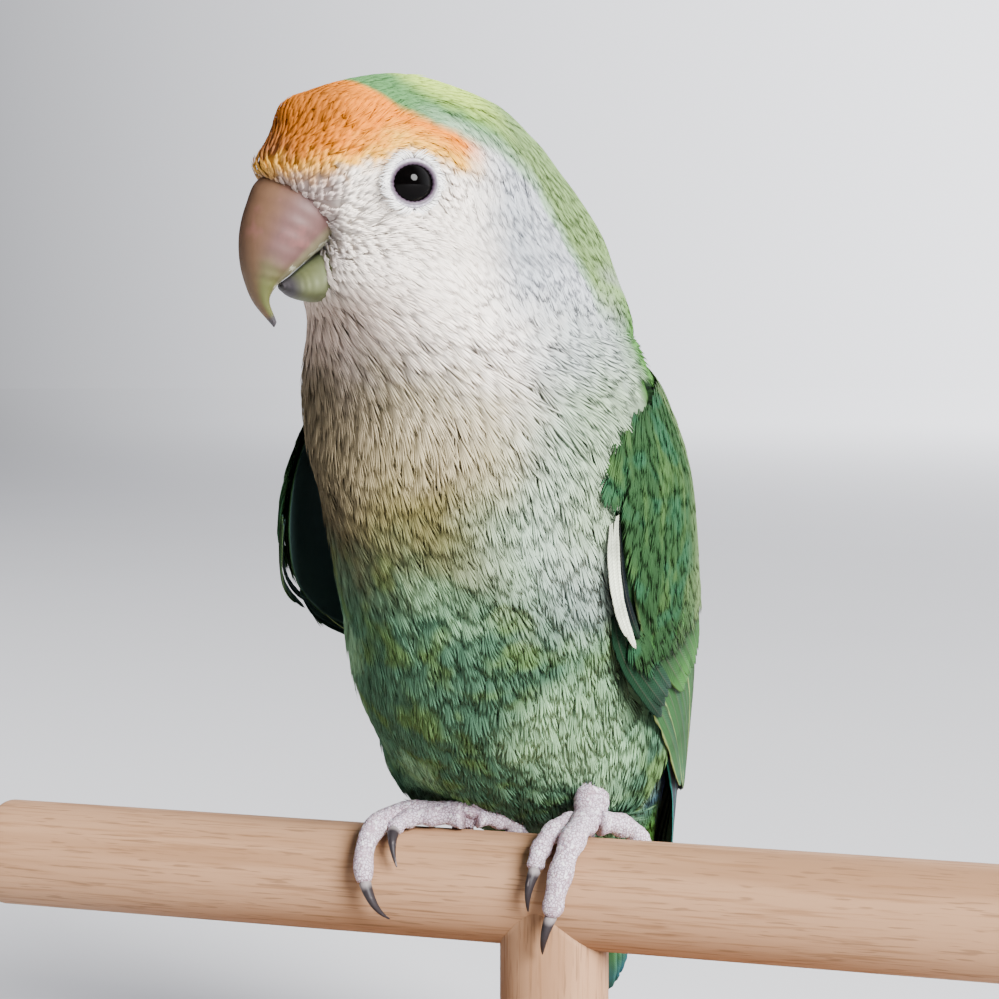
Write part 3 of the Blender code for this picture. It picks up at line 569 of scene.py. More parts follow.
class Finish:
    """A material under construction."""

    def __init__(self, name, tree=None):
        if tree is None:
            self.material = bpy.data.materials.new(name)
            self.material.use_nodes = True
            tree = self.material.node_tree
        self.nodes, self.links = tree.nodes, tree.links
        self.shader = self.nodes.get("Principled BSDF")

    def node(self, kind, settings=None, values=None, output=0):
        """Any node from its type, its settings, which are set first, and the values or links of its
        sockets."""
        node = self.nodes.new(kind)
        for key, value in (settings or {}).items():
            setattr(node, key, value)
        for key, value in (values or {}).items():
            self.feed(node.inputs[key], value)
        return Value(self, node.outputs[output])

    def feed(self, socket, value):
        if isinstance(value, Value):
            self.links.new(value.socket, socket)
        elif isinstance(value, tuple) and socket.type == "RGBA":
            socket.default_value = (*value[:3], 1)
        elif isinstance(value, (int, float)) and socket.type in ("VECTOR", "RGBA"):
            socket.default_value = [value] * len(socket.default_value)
        else:
            socket.default_value = value

    def place(self):
        return self.node("ShaderNodeTexCoord", output="Object")

    def field(self, name):
        return self.node("ShaderNodeAttribute", {"attribute_name": name}, output="Fac")

    def noise(self, where, scale, detail=3.0, stretch=None, roughness=0.55):
        if stretch is not None:
            where = where * stretch
        values = {"Vector": where, "Scale": scale, "Detail": detail, "Roughness": roughness}
        return self.node("ShaderNodeTexNoise", None, values, "Fac")

    def mix(self, first, second, share):
        """The colour first where share is 0, second where it is 1."""
        node = self.nodes.new("ShaderNodeMix")
        node.data_type = "RGBA"
        node.clamp_factor = True
        self.feed(node.inputs["Factor"], share)
        self.feed(node.inputs[6], first)
        self.feed(node.inputs[7], second)
        return Value(self, node.outputs[2])

    def bump(self, height, strength, distance):
        values = {"Height": height, "Strength": strength, "Distance": distance}
        return self.node("ShaderNodeBump", None, values, "Normal")

    def done(self, base, roughness=0.6, normal=None, **constants):
        self.feed(self.shader.inputs["Base Color"], base)
        self.feed(self.shader.inputs["Roughness"], roughness)
        if normal is not None:
            self.feed(self.shader.inputs["Normal"], normal)
        for key, value in constants.items():
            self.feed(self.shader.inputs[key.replace("_", " ")], value)
        return self.material


def plumage_colour(finish, colours):
    """The bird's markings on Object coordinates: throat, breast, belly, back and rump by height, by how far
    to the left and how far to the back, then the head's zones by forward and up in its own axes. The
    breast's right side and the back of the head are also darkened with painted shade."""
    place = finish.place()
    axes = head_axes()
    rough = finish.noise(place, 420, 2) - 0.5
    broad = finish.noise(place, 90, 2) - 0.5
    forward = (place.dot(tuple(axes[0])) - float(HEAD_CENTRE @ axes[0])) / MM + rough * 2.4
    up = (place.dot(tuple(axes[2])) - float(HEAD_CENTRE[2])) / MM + rough * 2.4
    height = place.dot((0, 0, 1)) / MM + broad * 12 + rough * 5
    back = place.dot((0, 1, 0)) / MM + broad * 5
    left = place.dot((1, 0, 0)) / MM + rough * 4

    throat = finish.mix(colours.throat, colours.face, forward.ramp(10, -6))
    throat = finish.mix(throat, colours.cheek, left.ramp(-2, 12) * 0.6)
    chest = finish.mix(colours.breast, colours.mint, left.ramp(-6, 9))
    trunk = finish.mix(chest, throat, height.ramp(92, 113))
    trunk = finish.mix(trunk, colours.side_grey, left.ramp(3, 10) * height.ramp(132, 118) * 0.8)
    flank = left.ramp(3, 12) * height.ramp(115, 106) * height.ramp(80, 92)
    trunk = finish.mix(trunk, colours.side_green, flank * 0.8)
    bib = height.ramp(114, 104) * height.ramp(90, 98) * left.ramp(10, 0)
    trunk = finish.mix(trunk, colours.beige, bib * 0.65)
    # Painted shade: the breast's right side turns brown-grey, where less light falls
    trunk = finish.mix(trunk, colours.painted_side_shade, left.ramp(-8, -22) * height.ramp(117, 106) * 0.8)
    belly = finish.mix(colours.belly, colours.leaf, finish.noise(place, 130, 2).ramp(0.48, 0.62) * 0.8)
    belly = finish.mix(belly, colours.aqua, finish.noise(place, 75, 2).ramp(0.54, 0.66) * 0.4)
    edge = height + left.ramp(-8, 12) * 4
    trunk = finish.mix(belly, trunk, edge.ramp(77, 92))
    patch = (place - (0.006, -0.006, 0.062)).node_length() / MM
    trunk = finish.mix(trunk, colours.aqua, (patch + broad * 16 + rough * 5).ramp(15, 5) * 0.8)
    behind = (back + (height - 60) * 0.42 + height.ramp(95, 112) * 4).ramp(14, 24)
    trunk = finish.mix(trunk, colours.back, behind * height.ramp(128, 118))
    trunk = finish.mix(trunk, colours.rump, behind * height.ramp(64, 54) * height.ramp(44, 52))

    face = finish.mix(colours.face, colours.cheek, forward.ramp(-5, -13))
    face = finish.mix(face, colours.throat, up.ramp(-9, -18) * forward.ramp(-2, 8))
    # How far a place lies over the lower edge of the green, which runs from the crown to the nape
    slope = (forward * 0.45 + 8.3).math("MINIMUM", forward * 0.9 + 13.4)
    slope = slope.math("MINIMUM", forward * 1.9 + 29.5)
    over = up - slope.math("MAXIMUM", forward + 7.5)
    green = finish.mix(colours.crown, colours.nape, forward.ramp(1, -4) * over.ramp(2, 6))
    # Painted shade: the green darkens towards the back of the head, where less light falls
    green = finish.mix(green, colours.painted_nape_shade, forward.ramp(-8, -15))
    green = finish.mix(green, colours.mint, over.ramp(3.6, 0.4) * forward.ramp(1, -7) * 0.8)
    to_bill = (forward + up * 0.5 + rough * 2).ramp(9, 15.5)
    orange = finish.mix(colours.brow, colours.forehead, to_bill)
    orange = finish.mix(orange, colours.bill_base, forward.ramp(13, 16) * 0.75)
    lower = up - (4.2 - (forward - 1).math("ABSOLUTE") * 0.45).math("MAXIMUM", 0.2) + rough * 2
    orange = finish.mix(colours.brow_edge, orange, lower.ramp(0.2, 4.0))
    head = finish.mix(face, orange, lower.ramp(-1.6, 1.0) * forward.ramp(-10, -5.5))
    head = finish.mix(head, green, over.ramp(-0.8, 0.9))
    lore = forward.ramp(7, 10) * up.ramp(2.5, 0) * up.ramp(-8, -4)
    head = finish.mix(head, colours.lore, lore * 0.7)
    mouth = (forward - up * 0.2).ramp(8.4, 9.8) * up.ramp(-4, -6) * up.ramp(-13, -9)
    head = finish.mix(head, colours.mouth, mouth * 0.5)
    streak = finish.noise(place, 70, 2, (0.5, 0.5, 1.0)).ramp(0.60, 0.68)
    head = finish.mix(head, colours.streak, streak * forward.ramp(-9, -13) * up.ramp(-9, -13) * 0.5)
    return finish.mix(trunk, head, up.ramp(-20, -12))


def plumage_material(name, settings, tones=None, root=0.6):
    """Feathers of the body: the markings, lighter and darker from tuft to tuft, with painted shade that
    darkens each root. Without tones it is the skin below them, the markings darkened as painted shade under
    the coat."""
    finish = Finish(name)
    base = plumage_colour(finish, palette(settings.plumage))
    if tones is None:
        # Painted shade: the skin shows the markings darkened, for the shade under the feathers
        shade = finish.noise(finish.place(), 900, 2) * 0.3 + 0.52
    else:
        shade = (finish.field("tone") - 0.5) * tones + 1.0
        # Painted shade: each barb darker towards its root, where the feathers over it shade it
        shade = shade * finish.field("along").ramp(0.0, 0.7, root, 1.04)
    return finish.done(base * shade.thrice(), 0.62, Specular_IOR_Level=0.04)


def soft_material(name, colours):
    """Small soft feathers of a wing: warmer and cooler in streaks, paler to the back, lighter from barb to
    barb."""
    finish = Finish(name)
    place = finish.place()
    streaks = finish.noise(place, 300, 3, (1.0, 1.0, 0.3))
    tint = finish.mix(colours.wing, colours.wing_warm, (streaks - 0.5).ramp(0.0, 0.15))
    tint = finish.mix(tint, colours.wing_cool, (finish.noise(place, 200, 2) - 0.5).ramp(0.0, 0.14) * 0.7)
    back = place.dot((0, 1, 0)) / MM + streaks * 12 - 6
    tint = finish.mix(tint, colours.wing_back, back.ramp(-1, 10) * 0.8)
    # Painted shade: each barb darker towards its root, where the feathers over it shade it
    shade = (finish.field("tone") * 0.3 + 0.85) * finish.field("along").ramp(0.0, 0.7, 0.88, 1.04)
    return finish.done(tint * shade.thrice(), 0.65, Specular_IOR_Level=0.05)


def vane_material(name, web, edge, tip, inner=None, rim=0.3, root=0.6):
    """A flat feather: its web with a paler outer edge and its own tip, another inner web, a shaft, fine
    slanting barbs, painted shade that darkens the root, and an underside darkened as painted shade."""
    finish = Finish(name)
    place = finish.place()
    across, along, shaft = finish.field("across"), finish.field("along"), finish.field("shaft")
    fine = (finish.field("barb") * 13.0 + finish.noise(place, 500, 2) * 7).math("SINE") * 0.5 + 0.5
    base = finish.mix(web, tip, along.ramp(0.72, 0.97))
    base = finish.mix(base, tuple(0.55 * v for v in web), finish.noise(place, 260, 2).ramp(0.5, 0.7) * 0.6)
    if inner is not None:
        base = finish.mix(base, inner, (across - shaft).ramp(-0.05, 0.35))
    base = finish.mix(base, edge, across.ramp(-0.75, -0.95) * rim)
    base = finish.mix(base, edge, across.ramp(0.86, 1.0) * rim * 0.6)
    base = finish.mix(base, (0.06, 0.05, 0.04), (across - shaft).math("ABSOLUTE").ramp(0.06, 0.02) * 0.5)
    # Painted shade: each feather darker towards its root, where the feathers over it shade it
    shade = (finish.field("tone") * 0.4 + 0.8) * (fine * 0.3 + 0.82) * along.ramp(0.0, 0.5, root, 1.0)
    # Painted shade: the underside turns dark blue-green, for the shade inside the wing
    under = finish.field("below")
    base = finish.mix(base * shade.thrice(), (0.028, 0.052, 0.05), under.ramp(0.3, 0.9))
    return finish.done(base, 0.65, finish.bump(fine, 0.25, 0.0001), Specular_IOR_Level=0.05)


def bill_material(name, horn, lower):
    """Horn on the bill's own fields: round from the ridge (0) to the cutting edge (1), along to the tip."""
    finish = Finish(name)
    place = finish.place()
    along, round_ = finish.field("along"), finish.field("round")
    cloud = finish.noise(place, 260, 3)
    flakes = finish.noise(place, 900, 4, (1, 1, 0.5))
    if lower:
        base = finish.mix((0.12, 0.14, 0.08), horn.bill_low, cloud)
        base = finish.mix(base, horn.bill_tip, along.ramp(0.62, 0.86))
    else:
        cloudy = cloud - 0.5
        base = finish.mix(horn.bill, horn.bill_low, (along + cloudy * 0.3).ramp(0.42, 0.78))
        base = finish.mix(base, horn.bill_ridge, (round_ + cloudy * 0.2).ramp(0.42, 0.1) * 0.85)
        base = finish.mix(base, (0.19, 0.075, 0.07), cloudy.ramp(0.0, 0.16) * along.ramp(0.6, 0.4) * 0.5)
        base = finish.mix(base, (0.17, 0.155, 0.09), round_.ramp(0.74, 0.86) * 0.8)
        worn = (round_ + (flakes - 0.5) * 0.7 + cloudy * 0.5).ramp(0.93, 0.97)
        base = finish.mix(base, horn.bill_lip, worn * 0.9)
        base = finish.mix(base, horn.bill_tip, along.ramp(0.93, 0.97))
    lines = ((along * 90 + cloud * 5).math("SINE") * 0.5 + 0.5) * 0.35 + flakes * 0.65
    shade = flakes * 0.3 + 0.85
    base = base * shade.thrice()
    normal = finish.bump(lines, 0.35, 0.0001)
    return finish.done(base, cloud * 0.2 + 0.42, normal, Specular_IOR_Level=0.2)


def foot_material(horn):
    """Scaly skin: pale cells of a Voronoi pattern with darker creases, rougher in the folds."""
    finish = Finish("scaly skin")
    place = finish.place()
    cells = finish.node(
        "ShaderNodeTexVoronoi", {"feature": "DISTANCE_TO_EDGE"}, {"Vector": place, "Scale": 2300}, "Distance"
    )
    big = finish.noise(place, 300, 2)
    scale = cells.ramp(0.02, 0.16)
    base = finish.mix(horn.foot_crease, horn.foot, scale * (finish.field("ridge") * 0.35 + 0.65))
    base = finish.mix(base, (0.36, 0.24, 0.29), (big - 0.5).ramp(0.0, 0.2) * 0.55)
    base = finish.mix(base, (0.80, 0.76, 0.78), (finish.noise(place, 1400, 2) - 0.5).ramp(0.06, 0.2) * 0.7)
    normal = finish.bump(scale + big * 0.6, 0.55, 0.0002)
    return finish.done(base, 0.62, normal, Specular_IOR_Level=0.4, Subsurface_Weight=0.08)


def claw_material(horn):
    """Dark horn with lighter streaks that run along each claw."""
    finish = Finish("claw horn")
    streak = finish.noise(finish.place(), 900, 3, (1.0, 0.35, 0.35))
    base = finish.mix(horn.claw, (0.20, 0.17, 0.17), (streak - 0.5).ramp(0.08, 0.2) * 0.7)
    base = finish.mix(base, (0.30, 0.26, 0.26), finish.field("along").ramp(0.16, 0.0) * 0.6)
    return finish.done(base, 0.5, finish.bump(streak, 0.2, 0.0001), Specular_IOR_Level=0.2)


def wood_material(name, stand, along):
    """Bare wood: fibres as noise drawn out along the grain, broad year lines and short dark pores."""
    finish = Finish(name)
    place = finish.place()
    stretch = tuple(0.04 if k == along else 1.0 for k in range(3))
    wander = finish.noise(place, 16, 2, stretch) * 0.012
    year = finish.noise(place + wander.thrice(), 170, 2, stretch)
    fibre = finish.noise(place, 1900, 3, stretch)
    pores = finish.noise(place, 2600, 1, tuple(0.07 if k == along else 1.0 for k in range(3)))
    base = finish.mix(stand.wood, stand.grain, (year - 0.5).ramp(0.0, 0.16) * 0.55)
    base = finish.mix(base, stand.grain, (fibre - 0.5).ramp(-0.02, 0.2) * 0.7)
    base = finish.mix(base, (0.16, 0.085, 0.045), (pores - 0.5).ramp(0.10, 0.2) * 0.6)
    normal = finish.bump(fibre * 0.7 + pores * 0.3, 0.3, 0.0001)
    return finish.done(base, fibre * 0.15 + 0.6, normal, Specular_IOR_Level=0.15)


# Feathers

# A flat feather's rows along it, its thickness in millimetres and the share of it that tapers to the tip
VANE_ROWS = 26
VANE_THICKNESS = 0.16
VANE_POINT = 0.3


def site_frames(shape, u, v, steps, lie):
    """Where feathers root on a surface shape(u, v): place, outward normal, lie in the surface, and how much
    the surface bends away along the lie and across it, each from its fall over a short way. Slopes are
    differences over the given steps."""

    def look(u, v):
        du, dv = steps
        slope_u = (shape(u + du, v) - shape(u - du, v)) / (2 * du)
        slope_v = (shape(u, v + dv) - shape(u, v - dv)) / (2 * dv)
        normal = unit(np.cross(slope_u, slope_v))
        outward = shape(u, v, 0.5 * MM) - shape(u, v, 0.0)
        return slope_u, slope_v, normal * np.sign((normal * outward).sum(-1, keepdims=True))

    place = shape(u, v)
    slope_u, slope_v, normal = look(u, v)
    flow = lie(place, slope_u, slope_v)
    flow = unit(flow - normal * (flow * normal).sum(-1, keepdims=True))
    across = np.cross(normal, flow)
    bends = []
    uu, uv, vv = (slope_u**2).sum(-1), (slope_u * slope_v).sum(-1), (slope_v**2).sum(-1)
    for direction, step in ((flow, 3 * MM), (across, 1.2 * MM)):
        on_u, on_v = (direction * slope_u).sum(-1), (direction * slope_v).sum(-1)
        spread = np.maximum(uu * vv - uv**2, 1e-3 * uu * vv + 1e-24)
        du, dv = (on_u * vv - on_v * uv) / spread * step, (on_v * uu - on_u * uv) / spread * step
        du, dv = np.clip(du, -40 * steps[0], 40 * steps[0]), np.clip(dv, -40 * steps[1], 40 * steps[1])
        moved = shape(u + du, v + dv) - place
        run, rise = (moved * direction).sum(-1), (moved * normal).sum(-1)
        bends.append(np.clip(-2 * rise / np.maximum(run**2, (0.4 * step) ** 2), -110, 150))
    return {"place": place, "normal": normal, "flow": flow, "across": across, "bends": bends}


def barbed_feathers(sites, reach, half, lift, depth, barbs, barb_width, rng, rings=4, loose=1.0):
    """Rings of thin three-sided barbs that make up small feathers. Barb b of a feather runs from its shaft
    at reach * (0.04 + 0.4 (1 - |b|)) to reach * (1 - 0.38 b^2), sideways to half * b, and rises from the
    skin to its lift as 1 - (1 - x / reach)^2, while the surface bends away below it as bend * x^2 / 2."""
    n = len(reach)
    b = np.linspace(-1, 1, barbs)[None] + rng.normal(0, 0.05 * loose, (n, barbs))
    reach, half, lift, depth = (np.broadcast_to(v, n)[:, None] for v in (reach, half, lift, depth))
    begin = reach * (0.04 + 0.40 * (1 - np.abs(np.clip(b, -1, 1))))
    end = reach * (1 - 0.38 * b**2) * (1 + loose * rng.uniform(-0.08, 0.08, (n, barbs)))
    t = np.linspace(0, 1, rings)
    x = begin[..., None] + (end - begin)[..., None] * t
    wander = rng.normal(0, 0.05 * loose, (n, barbs, 1)) * half[..., None] * t**2
    y = half[..., None] * b[..., None] * (0.10 + 0.86 * t**0.8) + wander
    share = np.clip(x / reach[..., None], 0, 1.15)
    rise = (depth + lift)[..., None] * (1 - (1 - share) ** 2) - depth[..., None]
    rise = rise + loose * rng.uniform(-0.04, 0.05, (n, barbs, 1)) * MM * t
    rise = rise - 0.12 * half[..., None] * b[..., None] ** 2
    bend_x, bend_y = (bend[:, None, None] for bend in sites["bends"])
    fall = bend_x * x**2 / 2 + bend_y * y**2 / 2
    place, normal, flow, across = (sites[k][:, None, None] for k in ("place", "normal", "flow", "across"))
    path = place + flow * x[..., None] + across * y[..., None] + normal * (rise - fall)[..., None]
    path = path.reshape(n * barbs, rings, 3)
    up = np.repeat(sites["normal"], barbs, 0)[:, None]
    tangent = unit(np.gradient(path, axis=1))
    side = unit(np.cross(tangent, up))
    above = np.cross(side, tangent)
    width = (barb_width * (1 - 0.6 * t**2))[:, None]
    ring = np.stack([path - side * width, path + side * width, path + above * width * 0.5], 2)
    return ring, np.broadcast_to(t[None, :, None], (n * barbs, rings, 3))


def body_lie(place, slope_angle, slope_station):
    """The way the coat lies on trunk and head: towards the tail along the sections, but away from the bill
    over the front of the head."""
    down = unit(-slope_station)
    forward, _, up = in_head(place)
    bill = head_point(13.0, 0, -6.0)
    away = unit(place - bill)
    share = smooth(forward, -12, 6) * smooth(up, -24, -10)
    share = np.maximum(share, smooth(up, 6, 12))[:, None]
    return unit(away * share + down * (1 - share))


def scattered(shape, u_range, v_range, pitch, rng):
    """Evenly scattered places on a surface: candidates drawn by area and pitch(u, v), of which each is kept
    unless one kept before it lies nearer than 0.8 of its pitch."""
    cells = 260
    u = np.linspace(*u_range, cells + 1)
    v = np.linspace(*v_range, cells + 1)
    corners = shape(u[:, None] + 0 * v[None], v[None] + 0 * u[:, None])
    area = np.linalg.norm(
        np.cross(corners[1:, 1:] - corners[:-1, :-1], corners[1:, :-1] - corners[:-1, 1:]), axis=-1
    ) / 2
    middle_u, middle_v = np.meshgrid((u[1:] + u[:-1]) / 2, (v[1:] + v[:-1]) / 2, indexing="ij")
    weight = (area / pitch(middle_u, middle_v) ** 2).ravel()
    chosen = rng.choice(cells * cells, int(weight.sum() * 7), p=weight / weight.sum())
    u = middle_u.ravel()[chosen] + rng.uniform(-0.5, 0.5, len(chosen)) * (u[1] - u[0])
    v = middle_v.ravel()[chosen] + rng.uniform(-0.5, 0.5, len(chosen)) * (v[1] - v[0])
    places, gaps = shape(u, v), 0.8 * pitch(u, v)
    size = gaps.max()
    homes = np.floor(places / size).astype(int)
    kept, rooms = [], {}
    around = [(a, b, c) for a in (-1, 0, 1) for b in (-1, 0, 1) for c in (-1, 0, 1)]
    for k, (home, place, gap) in enumerate(zip(homes.tolist(), places.tolist(), gaps.tolist())):
        near = [p for a, b, c in around for p in rooms.get((home[0] + a, home[1] + b, home[2] + c), ())]
        if all(math.dist(p, place) > gap for p in near):
            rooms.setdefault(tuple(home), []).append(place)
            kept.append(k)
    return u[kept], v[kept]


def vanes(shape, roots, tips, half, heights, lean, rng, camber=0.25, shaft=-0.3):
    """Rings and fields of flat feathers on a plan, from roots to tips in millimetres. The half width is
    half * (0.5 to 1 over the first quarter) * (1 - s^2.4)^0.5 over the last share VANE_POINT. The front edge
    is raised by lean, the middle by the camber, and the web has splits near its tip."""
    n = len(roots)
    columns = np.array([-1, -0.8, -0.55, shaft - 0.05, shaft, shaft + 0.05, 0.1, 0.4, 0.7, 1.0])
    t = np.linspace(0, 1, VANE_ROWS) ** 0.9
    line = tips - roots
    size = np.linalg.norm(line, axis=1)
    sideways = np.stack([line[:, 1], -line[:, 0]], 1) / size[:, None]
    sideways *= -np.sign(sideways[:, :1])
    end = np.clip((t - (1 - VANE_POINT)) / VANE_POINT, 0, 1)
    profile = (0.5 + 0.5 * smooth(t, 0, 0.25)) * np.sqrt(np.maximum(1 - end**2.4, 0.0012))
    # From here on the values run over feathers, rows and columns
    t, profile = t[None, :, None], profile[None, :, None]
    half, size = half[:, None, None], size[:, None, None]
    edge = columns * half * profile
    ragged = rng.uniform(0, 1, (n, VANE_ROWS, 2)) ** 5 * 0.16
    edge[:, :, 0] *= 1 - ragged[..., 0]
    edge[:, :, -1] *= 1 - ragged[..., 1]
    across, along = (
        roots[:, k, None, None] + line[:, k, None, None] * t - sideways[:, k, None, None] * edge
        for k in (0, 1)
    )
    rise = heights[0] + (heights[1] - heights[0]) * t
    rise = rise - lean * (0.4 + 0.6 * t) * edge + camber * (1 - columns**2) * profile
    rise = rise + 0.08 * (np.abs(columns - shaft) < 0.01) * (1 - 0.7 * t)
    rise = rise + rng.uniform(-0.05, 0.05, (n, 1, 1))
    thick = VANE_THICKNESS * (0.25 + 0.75 * (1 - columns**4)) * (1 - 0.6 * t)
    top = shape(across, along, rise * MM)
    below = shape(across, along, (rise - thick) * MM)
    rings = np.concatenate([top, below[:, :, -2:0:-1]], 2)

    def both(values):
        values = np.broadcast_to(values, (n, VANE_ROWS, len(columns)))
        return np.concatenate([values, values[:, :, -2:0:-1]], 2)

    fields = {
        "across": both(columns),
        "along": both(t),
        "tone": both(rng.uniform(0, 1, (n, 1, 1))),
        "barb": both(size * t - 0.9 * np.abs(columns - shaft) * half),
        "shaft": both(np.array(shaft)),
        "below": np.arange(rings.shape[2]) >= len(columns),
    }
    return rings, fields


def atlas(count, columns=8):
    """Corners and size of count patches in a grid on the bake map."""
    rows = math.ceil(count / columns)
    k = np.arange(count)
    size = (0.9 / columns, 0.9 / rows)
    return np.stack([k % columns / columns + 0.05 / columns, k // columns / rows + 0.05 / rows], 1), size


# Pieces


def settings_of(context):
    return context.scene.lovebird


class LOVEBIRD_OT_skin(bpy.types.Operator):
    """One skin under the coat: trunk, head and thighs"""

    bl_idname = "lovebird.skin"
    bl_label = "Skin"

    def execute(self, context):
        settings = settings_of(context)
        material = plumage_material("skin under the feathers", settings)
        turn = np.linspace(0, 2 * np.pi, 144, endpoint=False)
        stations = np.linspace(0.04, CROWN_STATION - 0.04, 260)
        depth = settings.coat.depth * (0.5 + 0.5 * smooth(stations, 10.5, 8))
        forward, left, up = in_head(body(turn[None], stations[:, None]))
        from_eye = np.hypot(forward - EYE_PLACE[0], up - EYE_PLACE[2]) + 9 * (np.abs(left) < 8)
        depth = depth + 0.35 * MM * smooth(stations, 6, 7) * smooth(stations, 9.6, 8.6)
        rings = body(turn[None], stations[:, None], -depth[:, None] - 1.6 * MM * smooth(from_eye, 3.7, 2.7))
        pieces = [tubes("skin", rings[None], material)]
        for side in THIGHS:
            turn = np.linspace(0, 2 * np.pi, 64, endpoint=False)
            shape = thigh(side)(turn[None], np.linspace(0.01, 0.99, 40)[:, None], -settings.coat.depth)
            pieces.append(tubes("thigh", shape[None], material))
        skin = merged("skin", pieces)
        place_piece(skin, "feathers_body", "torso", "neck", "head", "leg_left", "leg_right")
        return {"FINISHED"}


# The left wing's front edge in millimetres: height, and how far back it lies
LEFT_EDGE = (
    (51, 30.6),
    (66.3, 1.3),
    (75.3, -9.7),
    (80.6, -11.2),
    (86, -14.9),
    (93.5, -14.2),
    (103.6, -12.5),
    (112, -8),
)
# The wings' front edges round the trunk: height in millimetres, degrees from the front for the left wing
# and for the right
WING_EDGES = ((54.5, 77, 86), (68, 64, 92), (81.5, 52, 69), (94, 56, 56), (106, 66, 80))


def before_wing(places):
    """How far in millimetres a place lies before the left wing's front edge, negative under the wing."""
    heights, backs = np.array(LEFT_EDGE, float).T
    return np.interp(places[:, 2] / MM, heights, backs) - places[:, 1] / MM


def wing_cover(angle, places):
    """True where a folded wing lies over the coat: behind its front edge, whose angle in degrees changes
    with the height in millimetres, and before its back edge."""
    height = places[:, 2] / MM
    heights, left, right = np.array(WING_EDGES, float).T
    on_left = angle < np.pi
    turned = np.where(on_left, angle, 2 * np.pi - angle)
    edge = np.where(on_left, np.interp(height, heights, left), np.interp(height, heights, right))
    behind = np.degrees(turned) - edge
    overlap = np.interp(height, (56, 70, 82), (3, 1.5, 1.5))
    left_cover = on_left & (angle > 0.5) & (before_wing(places) < overlap) & (height < 111)
    right_cover = (angle > np.pi) & (behind > 27) & (height < 103)
    return (left_cover | right_cover) & (behind < 82) & (height > 56)


class LOVEBIRD_OT_coat(bpy.types.Operator):
    """The body's small feathers, each a fan of thin barbs that lies along the coat"""

    bl_idname = "lovebird.coat"
    bl_label = "Coat"

    def execute(self, context):
        coat = settings_of(context).coat
        rng = np.random.default_rng(coat.seed)
        body_finish = plumage_material("body feathers", settings_of(context), 0.5)
        head_finish = plumage_material("head feathers", settings_of(context), 0.16, 0.85)

        def pitch(angle, station):
            return coat.body_pitch + (coat.head_pitch - coat.body_pitch) * smooth(station, 7.0, 9.2)

        angle, station = scattered(body, (0, 2 * np.pi), (0.9, CROWN_STATION - 0.05), pitch, rng)
        places = body(angle, station)
        forward, left, up = in_head(places)
        height, ahead = places[:, 2] / MM, before_wing(places)
        from_eye = np.hypot(forward - EYE_PLACE[0], up - EYE_PLACE[2]) + 9 * (np.abs(left) < 8)
        keep = (from_eye > 3.6) & ~wing_cover(angle, places)
        angle, station, forward, up, height, ahead, from_eye = (
            values[keep] for values in (angle, station, forward, up, height, ahead, from_eye)
        )
        # Painted shadow: flank feathers just before the left wing's front edge are darkened, for the shade
        # the wing casts there
        gap = smooth(ahead, 5, 1) * smooth(height, 93, 86) * smooth(height, 52, 58) * (angle < np.pi)
        sites = site_frames(body, angle, station, (0.01, 0.01), body_lie)

        head = smooth(station, 7.0, 9.4)
        front = smooth(forward, 2, 12) * smooth(up, -16, -6)
        reach = (6.8 * (1 - head) + (4.0 - 1.8 * front) * head) * MM
        reach = reach * (1 + 0.25 * smooth(height, 84, 66) * (station < 5))
        reach = reach * (0.55 + 0.45 * smooth(station, 0.9, 2.0))
        reach = reach * rng.uniform(0.92, 1.1, len(reach)) * (0.5 + 0.5 * smooth(from_eye, 3.4, 7))
        half = reach * (0.31 * (1 - head) + 0.24 * head)
        loosened = 0.3 * smooth(height, 95, 70) + 0.08
        lift = (0.08 - 0.06 * head + loosened * (1 - head) * rng.uniform(0, 1, len(reach)) ** 2) * MM
        depth = coat.depth * (1 - 0.84 * head)
        bands = (
            ("vent", 0.9, 3.0, 17, 4), ("belly", 3.0, 4.4, 17, 4), ("chest", 4.4, 5.6, 17, 4),
            ("breast", 5.6, 7.2, 16, 4), ("neck", 7.2, 8.4, 14, 4), ("throat", 8.4, 9.6, 11, 4),
            ("face", 9.6, 11.2, 9, 3), ("brow", 11.2, 12.8, 9, 3), ("crown", 12.8, 15.1, 9, 4),
        )
        for name, low, high, barbs, rings in bands:
            chosen = (station >= low) & (station < high)
            count = int(chosen.sum())
            part = {key: values[chosen] for key, values in sites.items() if key != "bends"}
            part["bends"] = [bend[chosen] for bend in sites["bends"]]
            width = coat.barb_width * (1 - 0.35 * smooth(np.array(low), 6.5, 9.5))
            points, along = barbed_feathers(
                part, reach[chosen], half[chosen], lift[chosen], depth[chosen], barbs, width, rng, rings,
                0.9 if low > 8 else 1.2 if low > 5 else 1.6,
            )
            tone = np.repeat(rng.uniform(0, 1, count), barbs) * 0.5 + rng.uniform(0, 1, count * barbs) * 0.5
            # The painted shadow goes into each barb's tone
            tone = tone * np.repeat(1 - gap[chosen], barbs) - 1.1 * np.repeat(gap[chosen], barbs)
            corners = np.stack([angle[chosen] / (2 * np.pi), station[chosen] / CROWN_STATION], 1) * 0.99
            fields = {"along": along, "tone": tone[:, None, None]}
            patch = (np.repeat(corners, barbs, 0), (0.003, 0.003))
            material = head_finish if low > 8 else body_finish
            piece = tubes(f"coat_{name}", points, material, True, fields, patch)
            slot = "feathers_head" if low > 8 else "feathers_breast" if low > 5.5 else "feathers_body"
            place_piece(piece, slot)
        return {"FINISHED"}


